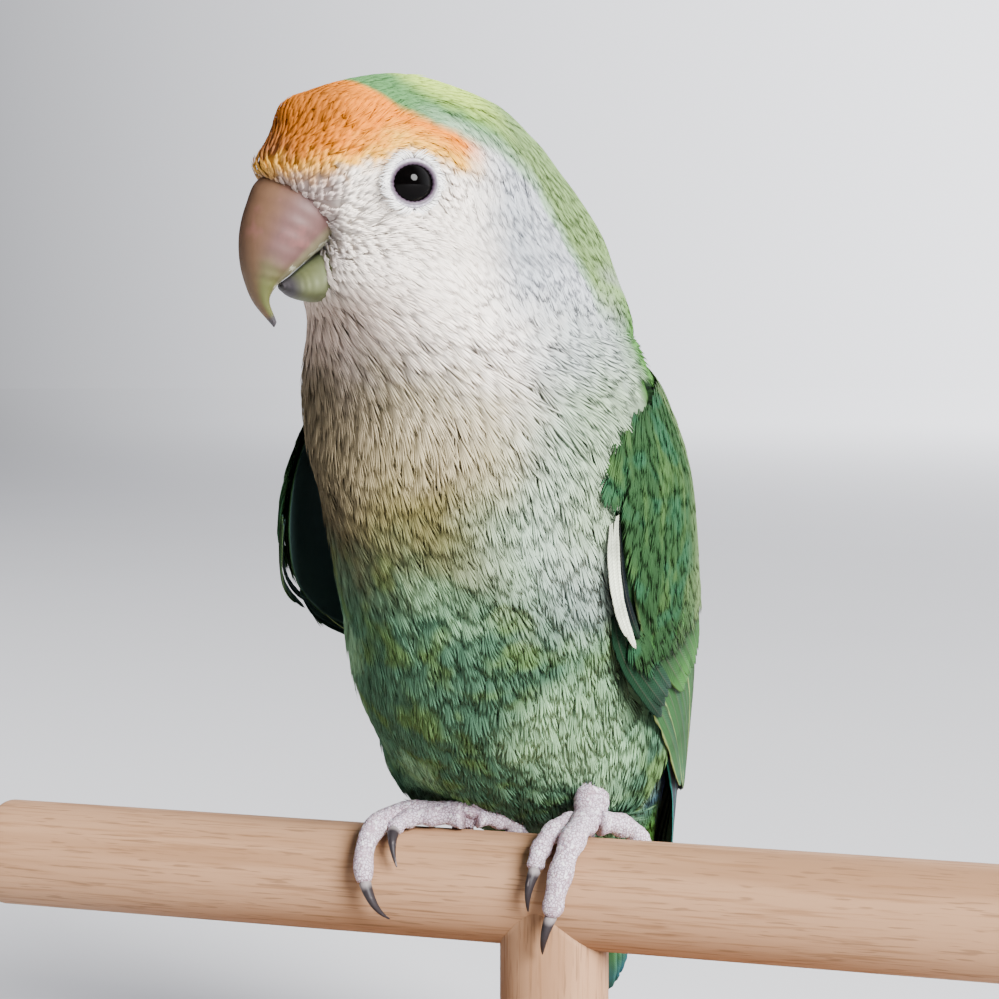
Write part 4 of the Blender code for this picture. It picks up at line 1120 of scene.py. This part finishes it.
class LOVEBIRD_OT_thighs(bpy.types.Operator):
    """The loose feathers of both thighs"""

    bl_idname = "lovebird.thighs"
    bl_label = "Thigh feathers"

    def execute(self, context):
        coat = settings_of(context).coat
        rng = np.random.default_rng(coat.seed + 1)
        material = plumage_material("thigh feathers", settings_of(context), 0.5)

        def lie(place, slope_angle, slope_station):
            return unit(-slope_station + np.array([0, -0.002, -0.012]))

        count, barbs = 330, 15
        for side in THIGHS:
            k = np.arange(count) + 0.5
            station = np.arccos(1 - 2 * k / count) / np.pi
            angle = (k * GOLDEN_ANGLE) % (2 * np.pi)
            sites = site_frames(thigh(side), angle, np.clip(station, 0.04, 0.96), (0.02, 0.01), lie)
            reach = rng.uniform(6.5, 8.5, count) * MM
            lift = rng.uniform(0.1, 0.5, count) * MM
            rings, along = barbed_feathers(
                sites, reach, reach * 0.3, lift, coat.depth, barbs, coat.barb_width, rng
            )
            corners = np.repeat(np.stack([angle / (2 * np.pi), station], 1) * 0.99, barbs, 0)
            tone = np.repeat(rng.uniform(0, 1, count), barbs) * 0.4 + rng.uniform(0, 1, count * barbs) * 0.6
            fields = {"along": along, "tone": tone[:, None, None]}
            piece = tubes(f"coat_thigh_{side}", rings, material, True, fields, (corners, (0.003, 0.003)))
            place_piece(piece, "feathers_body")
        return {"FINISHED"}


class LOVEBIRD_OT_wings(bpy.types.Operator):
    """Both folded wings: the arm, tiers of flat feathers, and small coverts over them"""

    bl_idname = "lovebird.wings"
    bl_label = "Wings"

    def execute(self, context):
        settings = settings_of(context)
        colours = palette(settings.plumage)
        green, edge, flight = colours.wing, colours.wing_edge, colours.flight
        materials = {
            "primaries": vane_material(
                "longest feathers", flight, colours.flight_edge, (0.03, 0.03, 0.035), flight, 0.8, 0.9
            ),
            "secondaries": vane_material(
                "wing feathers", colours.secondary, edge, (0.028, 0.085, 0.04), (0.016, 0.048, 0.022), 0.9
            ),
            "wrist": vane_material(
                "wrist feathers", (0.008, 0.03, 0.014), (0.02, 0.08, 0.045), (0.012, 0.03, 0.02)
            ),
            "coverts": vane_material("wing coverts", green, edge, (0.035, 0.12, 0.025), None, 0.15),
            # Painted shadow: a near-black sheet that stands for the shade beside the white wrist patch
            "shade": vane_material(
                "dark line", (0.004, 0.007, 0.008), (0.01, 0.03, 0.02), (0.006, 0.02, 0.01)
            ),
            "alula": vane_material("white patch", colours.alula, (0.8, 0.8, 0.7), colours.alula),
        }
        soft = soft_material("small wing feathers", colours)
        # Name, count, root and tip of the first and of the last feather, half width, heights, lean, shaft
        tiers = (
            ("primaries", 9, (3.2, 46, 4.4, 93.4), (16, 43, 16, 69), 2.7, (-2.0, -1.55), 0.14, -0.45),
            ("secondaries", 20, (2.4, 32, 2.4, 66), (34, 27, 18, 78), 2.1, (-1.9, -0.6), 0.14, -0.3),
            ("wrist", 4, (1.0, 26, 1.2, 46), (4.4, 26, 4.8, 43), 1.3, (-1.5, -0.6), 0.10, -0.3),
            ("coverts", 19, (6.4, 20, 6.8, 46), (38, 15, 33, 42), 2.0, (-1.7, -0.55), 0.08, -0.2),
            ("coverts", 21, (5.6, 13, 6.0, 37), (37, 10, 35, 33), 1.9, (-1.4, -0.45), 0.08, -0.1),
            # Painted shadow: one dark vane beside the white patch, for its shade
            ("shade", 1, (0.5, 13, 3.0, 31), (0.5, 13, 3.0, 31), 0.7, (-1.0, 0.05), 0.03, 0.0),
            ("alula", 3, (-1.5, 12.5, 1.2, 29), (-0.3, 12.5, 2.2, 31.5), 0.6, (-0.7, 0.3), 0.03, 0.0),
        )
        for side in ("left", "right"):
            rng = np.random.default_rng(settings.coat.seed + 11)
            shape = wing(side)
            flipped = side == "left"
            pieces = [wing_arm(side, materials["coverts"])]
            for name, count, front, back, half, heights, lean, shaft in tiers:
                share = np.linspace(0, 1, count)[:, None]
                places = np.array(front) * (1 - share) + np.array(back) * share
                places = places + rng.normal(0, 0.18, places.shape)
                halves = np.full(count, half)
                rings, fields = vanes(
                    shape, places[:, :2], places[:, 2:], halves, heights, lean, rng, shaft=shaft
                )
                finish = materials["coverts" if name == "alula" and side == "right" else name]
                pieces.append(tubes(name, rings, finish, False, fields, atlas(count), flipped))
            piece = merged(f"wing_feathers_{side}", pieces)
            place_piece(piece, "feathers_wing", f"wing_{side}")
            self.small_coverts(side, shape, settings.coat, rng, soft)
        return {"FINISHED"}

    # Where the rows of small coverts begin on each wing, and where they end, from the shoulder down
    FIRST_COVERTS = {"left": (-3, -4.5, -1.8, 1, 2), "right": (4, 2.5, 1.5, 1, 2)}
    LAST_COVERTS = (26, 36, 42, 42)

    def small_coverts(self, side, shape, coat, rng, material):
        """Rows of small soft feathers over the arm, of thin barbs as the body's, which leave the white patch
        free."""
        across, along = [], []
        for k, row in enumerate(np.arange(0.5, 33, 1.7)):
            first = np.interp(row, [0, 5, 15, 20, 34], self.FIRST_COVERTS[side])
            last = np.interp(row, [0, 8, 20, 34], self.LAST_COVERTS)
            at = np.arange(first, last, 1.9) + 0.95 * (k % 2)
            across.append(at + rng.uniform(-0.4, 0.4, len(at)))
            along.append(np.full(len(at), row) + rng.uniform(-0.5, 0.5, len(at)))
        across, along = np.concatenate(across), np.concatenate(along)
        edge = -3.4 + 0.28 * (along - 8)
        clear = (along < 7) | (along > 29) | (across > edge + 4.2)
        across, along = across[clear], along[clear]

        def lie(place, slope_across, slope_along):
            return unit(unit(slope_along) + 0.05 * unit(slope_across))

        sites = site_frames(shape, across, along, (0.3, 0.3), lie)
        count, barbs = len(across), 13
        reach = rng.uniform(5.4, 6.8, count) * MM
        lift = (0.08 * rng.uniform(0, 1, count) - 0.22) * MM
        rings, share = barbed_feathers(
            sites, reach, reach * 0.27, lift, 0.45 * MM, barbs, coat.barb_width, rng, 4, 1.1
        )
        corners = np.repeat(np.stack([(across + 8) / 52, along / 36], 1) * 0.99, barbs, 0)
        tone = np.repeat(rng.uniform(0, 1, count), barbs) * 0.5 + rng.uniform(0, 1, count * barbs) * 0.5
        fields = {"along": share, "tone": tone[:, None, None]}
        piece = tubes(f"coverts_{side}", rings, material, True, fields, (corners, (0.003, 0.003)))
        place_piece(piece, "feathers_wing")


def wing_arm(side, material):
    """The wing's arm: a slab in its plan whose cross-section is a lens, 1 mm below the feathers' surface."""
    rows = 40
    plan = through(WING_ARM, np.linspace(0, len(WING_ARM) - 1, rows))
    t = (1 - np.cos(np.linspace(0, np.pi, 30))) / 2
    across = plan[:, 1:2] + (plan[:, 2:] - plan[:, 1:2]) * t
    fullness = 1 - np.abs(2 * t - 1) ** 3
    along = np.broadcast_to(plan[:, :1], across.shape)
    outer = np.broadcast_to(-1.1 - 0.5 * (1 - fullness), across.shape)
    depth = 2.0 * (0.1 + 0.9 * fullness)
    shape = wing(side)
    top = shape(across, along, outer * MM)
    below = shape(across, along, (outer - depth) * MM)
    rings = np.concatenate([top, below[:, -2:0:-1]], 1)[None]
    zero = np.zeros(rings.shape[:3])
    fields = {"across": zero, "along": zero + 0.5, "tone": zero + 0.4, "barb": zero, "shaft": zero + 2}
    # The arm's lower side takes the underside's painted shade
    fields["below"] = np.arange(rings.shape[2]) >= top.shape[1] - 1
    return tubes("arm", rings, material, False, fields, None, side == "left")


class LOVEBIRD_OT_tail(bpy.types.Operator):
    """The tail's feathers, the middle pair on top and longest"""

    bl_idname = "lovebird.tail"
    bl_label = "Tail"

    def execute(self, context):
        settings = settings_of(context)
        colours = palette(settings.plumage)
        rng = np.random.default_rng(settings.coat.seed + 5)
        material = vane_material(
            "tail feathers", colours.tail, (0.06, 0.20, 0.18), colours.tail_tip, None, 0.4, 0.8
        )
        origin = np.array([BIRD_X, 0, PERCH_HEIGHT])
        base, end = np.array(TAIL_BASE) * MM + origin, np.array(TAIL_END) * MM + origin
        ahead = unit(end - base)
        sideways = unit(np.array([1, 0, 0]) - ahead * ahead[0])
        out = np.cross(ahead, sideways)
        total = np.linalg.norm(end - base) / MM

        def sheet(across, along, rise=0.0):
            """A roof-like sheet along the tail's line, which falls off to both sides as across^2."""
            drop = 0.012 * across**2
            across, along, rise = np.broadcast_arrays(across, along, rise)
            return base + (
                ahead * along[..., None] + sideways * across[..., None] + out * (1.2 - drop)[..., None]
            ) * MM + out * rise[..., None]

        pieces = []
        pairs = 6
        for pair in reversed(range(pairs)):
            share = pair / (pairs - 1)
            for sign in (-1, 1):
                root = np.array([[sign * (0.8 + pair * 0.3), -4.0]])
                tip = np.array([[sign * (0.8 + pair * 0.66), total * (1 - 0.34 * share**1.3)]])
                level = -0.42 * pair - (0.22 if sign < 0 else 0)
                half, shaft = np.array([2.2]), -0.1 * sign
                rings, fields = vanes(sheet, root, tip, half, (level, level), 0.0, rng, 0.15, shaft)
                place = (np.array([[0.08 * (2 * pair + (sign > 0)), 0.02]]), (0.07, 0.95))
                pieces.append(tubes("feather", rings, material, False, fields, place))
        piece = merged("tail_feathers", pieces)
        place_piece(piece, "feathers_tail", "tail")
        return {"FINISHED"}


def bill_rings(table, sections, around):
    """Rings of a bill: an ellipse between its upper and its lower profile point, with the table's half
    width, drawn in a little towards the upper end."""
    at = np.linspace(0, len(table) - 1, sections)
    rows = through(table, at)
    turn = np.linspace(0, 2 * np.pi, around, endpoint=False)
    c, s = np.cos(turn)[None], np.sin(turn)[None]
    middle_f, middle_u = (rows[:, 0] + rows[:, 2]) / 2, (rows[:, 1] + rows[:, 3]) / 2
    half_f, half_u = (rows[:, 0] - rows[:, 2]) / 2, (rows[:, 1] - rows[:, 3]) / 2
    forward = middle_f[:, None] + half_f[:, None] * c
    up = middle_u[:, None] + half_u[:, None] * c
    left = rows[:, 4:5] * s * (1 - 0.12 * c)
    round_ = np.broadcast_to((1 - c) / 2, forward.shape)
    along = np.broadcast_to(at[:, None] / (len(table) - 1), forward.shape)
    return forward, left, up, round_, along


class LOVEBIRD_OT_bill(bpy.types.Operator):
    """Both halves of the bill, with faint growth lines"""

    bl_idname = "lovebird.bill"
    bl_label = "Bill"

    def execute(self, context):
        horn = palette(settings_of(context).horn)
        for name, table, lower in (("bill_upper", UPPER_BILL, False), ("bill_lower", LOWER_BILL, True)):
            forward, left, up, round_, along = bill_rings(table, 90, 72)
            ripple = 0.03 * np.sin(along * 70) * np.sin(np.pi * round_)
            points = head_point(forward, left * (1 + ripple * 0.3), up)
            fields = {"round": round_[None], "along": along[None]}
            material = bill_material(f"{name} horn", horn, lower)
            piece = tubes(f"{name}_horn", points[None], material, False, fields)
            place_piece(piece, "bill", name)
        return {"FINISHED"}


class LOVEBIRD_OT_eyes(bpy.types.Operator):
    """Eyeballs, wrinkled lid rims and the ring of short white feathers round each"""

    bl_idname = "lovebird.eyes"
    bl_label = "Eyes"

    def execute(self, context):
        settings = settings_of(context)
        rng = np.random.default_rng(settings.coat.seed + 3)
        ball = Finish("eye")
        fleck = ball.noise(ball.place(), 900, 2)
        dark = ball.mix((0.0004, 0.0004, 0.0004), (0.0016, 0.0012, 0.0012), fleck)
        ball_material = ball.done(dark, 0.05, Specular_IOR_Level=0.06)
        skin = Finish("lid skin")
        wrinkles = skin.noise(skin.place(), 2200, 2)
        rim = skin.mix(palette(settings.horn).lid, (0.62, 0.58, 0.64), wrinkles.ramp(0.45, 0.65))
        rim = skin.mix(rim, (0.05, 0.03, 0.05), skin.field("inside").ramp(-0.35, 0.45))
        lid_material = skin.done(rim, 0.5, skin.bump(wrinkles, 0.4, 0.0001))
        down = Finish("eye ring feathers")
        shade = down.field("tone") * 0.25 + 0.72
        parts = {0: shade, 1: shade * 0.985, 2: shade * 0.96}
        down_material = down.done(down.node("ShaderNodeCombineColor", None, parts, "Color"), 0.6)
        forward, side, up = EYE_PLACE
        for name, sign in (("left", 1), ("right", -1)):
            rise = np.linspace(0.02, np.pi - 0.02, 48)
            turn = np.linspace(0, 2 * np.pi, 72, endpoint=False)
            f = forward + EYE_RADIUS * np.sin(rise)[:, None] * np.cos(turn)
            u = up + EYE_RADIUS * np.sin(rise)[:, None] * np.sin(turn)
            l = sign * (side + EYE_RADIUS * np.cos(rise)[:, None] + 0 * turn)
            ball_piece = tubes(f"eyeball_{name}", head_point(f, l, u)[None], ball_material, inwards=sign > 0)
            place_piece(ball_piece, "eye", f"eye_{name}")
            around = np.linspace(0, 2 * np.pi, 96, endpoint=False)
            spoke = np.linspace(0, 2 * np.pi, 14, endpoint=False)
            crinkle = 1 + 0.10 * np.sin(around * 26)[:, None] * np.cos(spoke)
            tube_radius = LID_THICKNESS * crinkle
            out = LID_RADIUS * (1 + 0.04 * np.cos(2 * around))[:, None] + tube_radius * np.cos(spoke)
            lid_f = forward + out * np.cos(around)[:, None]
            lid_u = up + out * 0.97 * np.sin(around)[:, None]
            lid_l = sign * (LID_SIDE + 0.9 * tube_radius * np.sin(spoke) - 0.10 * (out - LID_RADIUS))
            points = head_point(lid_f, lid_l, lid_u)
            points = np.concatenate([points, points[:1]], 0)
            inside = np.broadcast_to(-np.cos(spoke) + 0.3 * np.sin(spoke), points.shape[:2])[None]
            lid = tubes(f"lid_{name}", points[None], lid_material, False, {"inside": inside}, None, sign > 0)
            count = 170
            at = np.arange(count) / count * 2 * np.pi + rng.uniform(-0.02, 0.02, count)
            start = LID_RADIUS + 0.25 + 0.25 * (np.arange(count) % 2)
            t = np.linspace(0, 1, 4)
            span = start[:, None] + rng.uniform(0.9, 1.5, (count, 1)) * t
            turned = np.sign(-np.cos(at)) * np.sign(np.sin(at) + 0.01)
            lean = at[:, None] + 0.25 * t * turned[:, None]
            path = head_point(
                forward + span * np.cos(lean),
                sign * (LID_SIDE + 0.30 + 0.25 * np.sin(np.pi * t) - 0.22 * t - 0.05 * span * t),
                up + span * np.sin(lean),
            )
            radii = 0.11 * MM * (1 - 0.7 * t)[None] * np.ones((count, 1))
            rings = round_path(path, radii, 3, head_axes()[1] * sign)
            tone = rng.uniform(0, 1, (count, 1, 1))
            ring = tubes(f"eye_ring_{name}", rings, down_material, True, {"tone": tone})
            place_piece(merged(f"lids_{name}", [lid, ring]), "feathers_head")
        return {"FINISHED"}


def perch_point(across, degrees, radius):
    """A place round the perch: across in millimetres from the post, degrees from the top, 90 in front."""
    turn = np.radians(degrees)
    across, turn, radius = np.broadcast_arrays(across, turn, radius)
    return np.stack([across * MM, -radius * np.sin(turn), PERCH_HEIGHT + radius * np.cos(turn)], -1)


class LOVEBIRD_OT_feet(bpy.types.Operator):
    """Scaly toes round the perch, shanks and claws"""

    bl_idname = "lovebird.feet"
    bl_label = "Feet"

    def execute(self, context):
        horn = palette(settings_of(context).horn)
        skin, claw_horn = foot_material(horn), claw_material(horn)
        for side, toes in TOES.items():
            pieces = [self.shank(side, skin)]
            for name, (root, bend, tip, radius, claw_tip) in zip(TOE_NAMES, toes):
                pieces.append(self.toe(root, bend, tip, radius, skin))
                claw = self.claw(f"claw_horn_{side}_{name}", tip, claw_tip, radius, claw_horn)
                place_piece(claw, "claw", f"claw_{side}_{name}")
            place_piece(merged(f"foot_skin_{side}", pieces), "foot", f"foot_{side}")
        return {"FINISHED"}

    def toe(self, root, bend, tip, radius, material):
        """A toe: a quadratic curve over the perch, swollen at its joints, with plates across its top and
        soft pads beneath."""
        s = np.linspace(0, 1, 90)
        weights = np.stack([(1 - s) * (1 - 2 * s), 4 * s * (1 - s), s * (2 * s - 1)], 1)
        across, degrees = (weights @ np.array([root, bend, tip], float)).T
        path = perch_point(across, degrees, PERCH_RADIUS + CLEARANCE + radius * 1.1 * MM)
        up = unit(path - perch_point(across, degrees, 0))
        turn = np.linspace(0, 2 * np.pi, 36, endpoint=False)
        size = radius * (1 - 0.2 * s) * (1 + 0.08 * np.cos(6 * np.pi * s))
        size = size * np.sqrt(1 - np.clip((s - 0.9) / 0.13, 0, 1) ** 2)
        length_mm = np.linalg.norm(np.diff(path, axis=0), axis=1).sum() / MM
        plates = np.abs(np.sin(np.pi * s * length_mm / 1.15)) ** 0.6
        top = np.clip(np.sin(turn), 0, 1) ** 0.7
        pads = np.clip(-np.sin(turn), 0, 1) * (0.06 * np.cos(6 * np.pi * s))[:, None]
        beads = 0.02 * np.sin(turn * 9)[None] * np.sin(np.pi * s * length_mm / 0.55)[:, None]
        radii = size[:, None] * (1 + 0.05 * (plates[:, None] - 0.6) * top + pads + beads) * MM
        tangent = unit(np.gradient(path, axis=0))
        sideways = unit(np.cross(tangent, up))
        spokes = sideways[:, None] * np.cos(turn)[:, None] + up[:, None] * np.sin(turn)[:, None]
        rings = path[:, None] + spokes * radii[..., None]
        ridge = np.broadcast_to(1 - top * (1 - plates[:, None]), radii.shape)
        return tubes("toe", rings[None], material, False, {"ridge": ridge[None]})

    def shank(self, side, material):
        """The short shank from the toes' common root up into the feathers."""
        across, back, run, rise = ANKLES[side]
        s = np.linspace(-0.16, 1, 40)
        height = PERCH_HEIGHT + PERCH_RADIUS + CLEARANCE + ANKLE_RADIUS * MM
        joint = np.array([across * MM, back * MM, height])
        path = joint + np.array([0, run, rise]) * MM * s[:, None]
        radii = ANKLE_RADIUS * MM * np.interp(s, [-0.16, -0.1, 0.2, 0.6, 1], [0.2, 0.8, 1, 0.9, 0.8])
        rings = round_path(path, radii * (1 + 0.02 * np.sin(s * 60)), 36, np.array([1.0, 0, 0]))
        ridge = np.broadcast_to(0.5 + 0.5 * np.sin(s * 60)[:, None], rings.shape[:2])
        return tubes("shank", rings[None], material, False, {"ridge": ridge[None]})

    def claw(self, name, tip, claw_tip, radius, material):
        """A claw: a tapered arch from the toe's end, deeper than wide, with a sharp point."""
        s = np.linspace(-0.12, 1, 40)
        start = np.array([*tip, (PERCH_RADIUS + CLEARANCE + radius * 1.1 * MM) / MM])
        across, degrees, height = (start * (1 - s[:, None]) + np.array(claw_tip) * s[:, None]).T
        path = perch_point(across, degrees, (height + 0.7 * np.sin(np.pi * np.clip(s, 0, 1))) * MM)
        path = path + unit(path[12] - path[4]) * 1.2 * CLEARANCE
        size = 0.95 * MM * (1 - 0.9 * np.clip(s, 0, 1) ** 1.15)
        size = size * np.sqrt(np.clip((s + 0.14) / 0.12, 0.02, 1))
        up = unit(path - perch_point(across, degrees, 0))
        turn = np.linspace(0, 2 * np.pi, 24, endpoint=False)
        sideways = unit(np.cross(unit(np.gradient(path, axis=0)), up))
        spokes = sideways[:, None] * 0.85 * np.cos(turn)[:, None] + up[:, None] * np.sin(turn)[:, None]
        rings = path[:, None] + spokes * size[:, None, None]
        along = np.broadcast_to(np.clip(s, 0, 1)[:, None], rings.shape[:2])
        return tubes(name, rings[None], material, False, {"along": along[None]})


class LOVEBIRD_OT_stand(bpy.types.Operator):
    """Perch, post and round base of bare pale wood"""

    bl_idname = "lovebird.stand"
    bl_label = "Stand"

    def execute(self, context):
        # Each piece is a profile turned round its axis: its radius at each place along it, with rounded ends
        stand = palette(settings_of(context).stand)
        turn = np.linspace(0, 2 * np.pi, 160, endpoint=False)
        c, s = np.cos(turn), np.sin(turn)
        rounding = np.linspace(0, np.pi / 2, 8)
        edge, pin = 1.2 * MM, [0.05 * MM]
        inset = edge * (1 - np.sin(rounding))
        reach = edge * (1 - np.cos(rounding))

        ends = -PERCH_HALF_LENGTH + reach
        x = np.concatenate([ends[:1], ends, np.linspace(-0.08, 0.08, 60), -ends[::-1], -ends[:1]])
        narrow = PERCH_RADIUS - inset
        radius = np.concatenate([pin, narrow, np.full(60, PERCH_RADIUS), narrow[::-1], pin])
        x, radius = x[:, None], radius[:, None]
        rings = np.stack([x + 0 * turn, radius * c, PERCH_HEIGHT + radius * s], -1)
        perch = tubes("perch_wood", rings[None], wood_material("perch wood", stand, 0))
        place_piece(perch, "wood", "perch")

        # The post runs from just inside the base to just inside the perch
        overlap = 0.1 * MM
        depth = (PERCH_RADIUS - 2 * overlap) ** 2 - (POST_RADIUS * s) ** 2
        top = PERCH_HEIGHT - np.sqrt(np.maximum(depth, 0))
        share = np.linspace(0, 1, 24)[:, None]
        height = BASE_HIGH[2]
        z = height - overlap + (top - height + overlap)[None] * share
        rings = np.stack([POST_RADIUS * c + 0 * z, POST_RADIUS * s + 0 * z, z], -1)
        post = tubes("post_wood", rings[None], wood_material("post wood", stand, 2))
        place_piece(post, "wood", "stand_post")

        narrow = BASE_HIGH[0] - inset
        z = np.concatenate([[0], reach, (height - reach)[::-1], [height]])[:, None]
        radius = np.concatenate([pin, narrow, narrow[::-1], pin])[:, None]
        rings = np.stack([radius * c, radius * s, z + 0 * turn], -1)
        base = tubes("base_wood", rings[None], wood_material("base wood", stand, 0))
        place_piece(base, "wood", "stand_base")
        return {"FINISHED"}


class LOVEBIRD_OT_stage(bpy.types.Operator):
    """Pale floor, soft light and the camera at the photograph's viewing angle"""

    bl_idname = "lovebird.stage"
    bl_label = "Stage"

    CAMERA_PLACE = (0.1300, -0.3537, 0.1120)
    CAMERA_AZIMUTH = 21.3
    CAMERA_PITCH = 2.94
    FIELD_OF_VIEW = 20.02
    SURROUND_TINT = (0.93, 0.94, 1.0)
    LAMP_TARGET = (-0.01, -0.01, 0.10)
    LAMP_PLACE = (1.79, -1.33, 1.18)
    LAMP_SIZE = 1.14

    def execute(self, context):
        stage = settings_of(context).stage
        turn = np.linspace(0, 2 * np.pi, 96, endpoint=False)
        radius = np.array([0.001, stage.floor_radius])[:, None]
        upper = np.stack([radius * np.cos(turn), radius * np.sin(turn), 0 * radius * turn], -1)
        rings = np.concatenate([upper - np.array([0, 0, 0.01]), upper[::-1]], 0)
        finish = Finish("floor")
        place = finish.place()
        tint = finish.noise(place, 6, 2) * 0.04 + 0.98
        # Painted light: the far floor fades from its lit colour into a glow as bright as the surround in
        # that direction, which hides the horizon
        far = place.node_length().ramp(0.3, 4.5)
        base = (tint * (1 - far)).thrice() * tuple(stage.floor)
        finish.done(base, 0.8, Specular_IOR_Level=0.0, Emission_Strength=1.0)
        away = finish.node("ShaderNodeVectorMath", {"operation": "NORMALIZE"}, {0: place})
        glow = self.glow(away, stage) * far
        finish.feed(finish.shader.inputs["Emission Color"], glow.thrice() * self.SURROUND_TINT)
        floor = tubes("floor", rings[None], finish.material, inwards=True)

        world = bpy.data.worlds.new("surround")
        world.use_nodes = True
        surround = Finish("surround", world.node_tree)
        away = surround.node("ShaderNodeTexCoord", output="Generated")
        background = world.node_tree.nodes["Background"]
        background.inputs["Color"].default_value = (*self.SURROUND_TINT, 1)
        surround.feed(background.inputs["Strength"], self.glow(away, stage))
        context.scene.world = world

        light = bpy.data.lights.new("key", "AREA")
        light.shape = "DISK"
        light.size = self.LAMP_SIZE
        light.energy = stage.key
        lamp = bpy.data.objects.new("key", light)
        lamp.location = self.LAMP_PLACE
        away = unit(np.array(self.LAMP_PLACE) - self.LAMP_TARGET)
        lamp.rotation_euler = (math.acos(away[2]), 0, math.atan2(away[1], away[0]) + math.pi / 2)
        context.scene.collection.objects.link(lamp)

        lens = bpy.data.cameras.new("camera")
        lens.sensor_width = 36
        lens.angle = math.radians(self.FIELD_OF_VIEW)
        lens.clip_start = 0.01
        camera = bpy.data.objects.new("camera", lens)
        camera.location = self.CAMERA_PLACE
        camera.rotation_euler = (math.radians(90 - self.CAMERA_PITCH), 0, math.radians(self.CAMERA_AZIMUTH))
        context.scene.collection.objects.link(camera)
        context.scene.camera = camera
        return {"FINISHED"}

    def glow(self, away, stage):
        """How bright the surround is in a direction: bright behind and to the right, dim elsewhere."""
        return away.dot((0.58, 0.80, 0.12)).ramp(0.20, 0.95, stage.world * stage.dim, stage.world)


class LOVEBIRD_PT_panel(bpy.types.Panel):
    """Lists the pieces and their settings"""

    bl_idname = "LOVEBIRD_PT_panel"
    bl_label = "Lovebird"
    bl_space_type = "VIEW_3D"
    bl_region_type = "UI"
    bl_category = "Lovebird"

    def draw(self, context):
        settings = settings_of(context)
        for operator in OPERATORS:
            self.layout.operator(operator.bl_idname)
        for group in ("coat", "plumage", "horn", "stand", "stage"):
            box = self.layout.box()
            values = getattr(settings, group)
            for key in type(values).__annotations__:
                box.prop(values, key)


OPERATORS = (
    LOVEBIRD_OT_skin,
    LOVEBIRD_OT_coat,
    LOVEBIRD_OT_thighs,
    LOVEBIRD_OT_wings,
    LOVEBIRD_OT_tail,
    LOVEBIRD_OT_bill,
    LOVEBIRD_OT_eyes,
    LOVEBIRD_OT_feet,
    LOVEBIRD_OT_stand,
    LOVEBIRD_OT_stage,
)
GROUPS = (CoatSettings, PlumageColours, HornColours, StandSettings, StageSettings, LovebirdSettings)


def register():
    for part in (*GROUPS, *OPERATORS, LOVEBIRD_PT_panel):
        bpy.utils.register_class(part)
    bpy.types.Scene.lovebird = bpy.props.PointerProperty(type=LovebirdSettings)


def unregister():
    del bpy.types.Scene.lovebird
    for part in reversed((*GROUPS, *OPERATORS, LOVEBIRD_PT_panel)):
        bpy.utils.unregister_class(part)


def main():
    register()
    for operator in OPERATORS:
        group, name = operator.bl_idname.split(".")
        getattr(getattr(bpy.ops, group), name)()


if __name__ == "__main__":
    main()
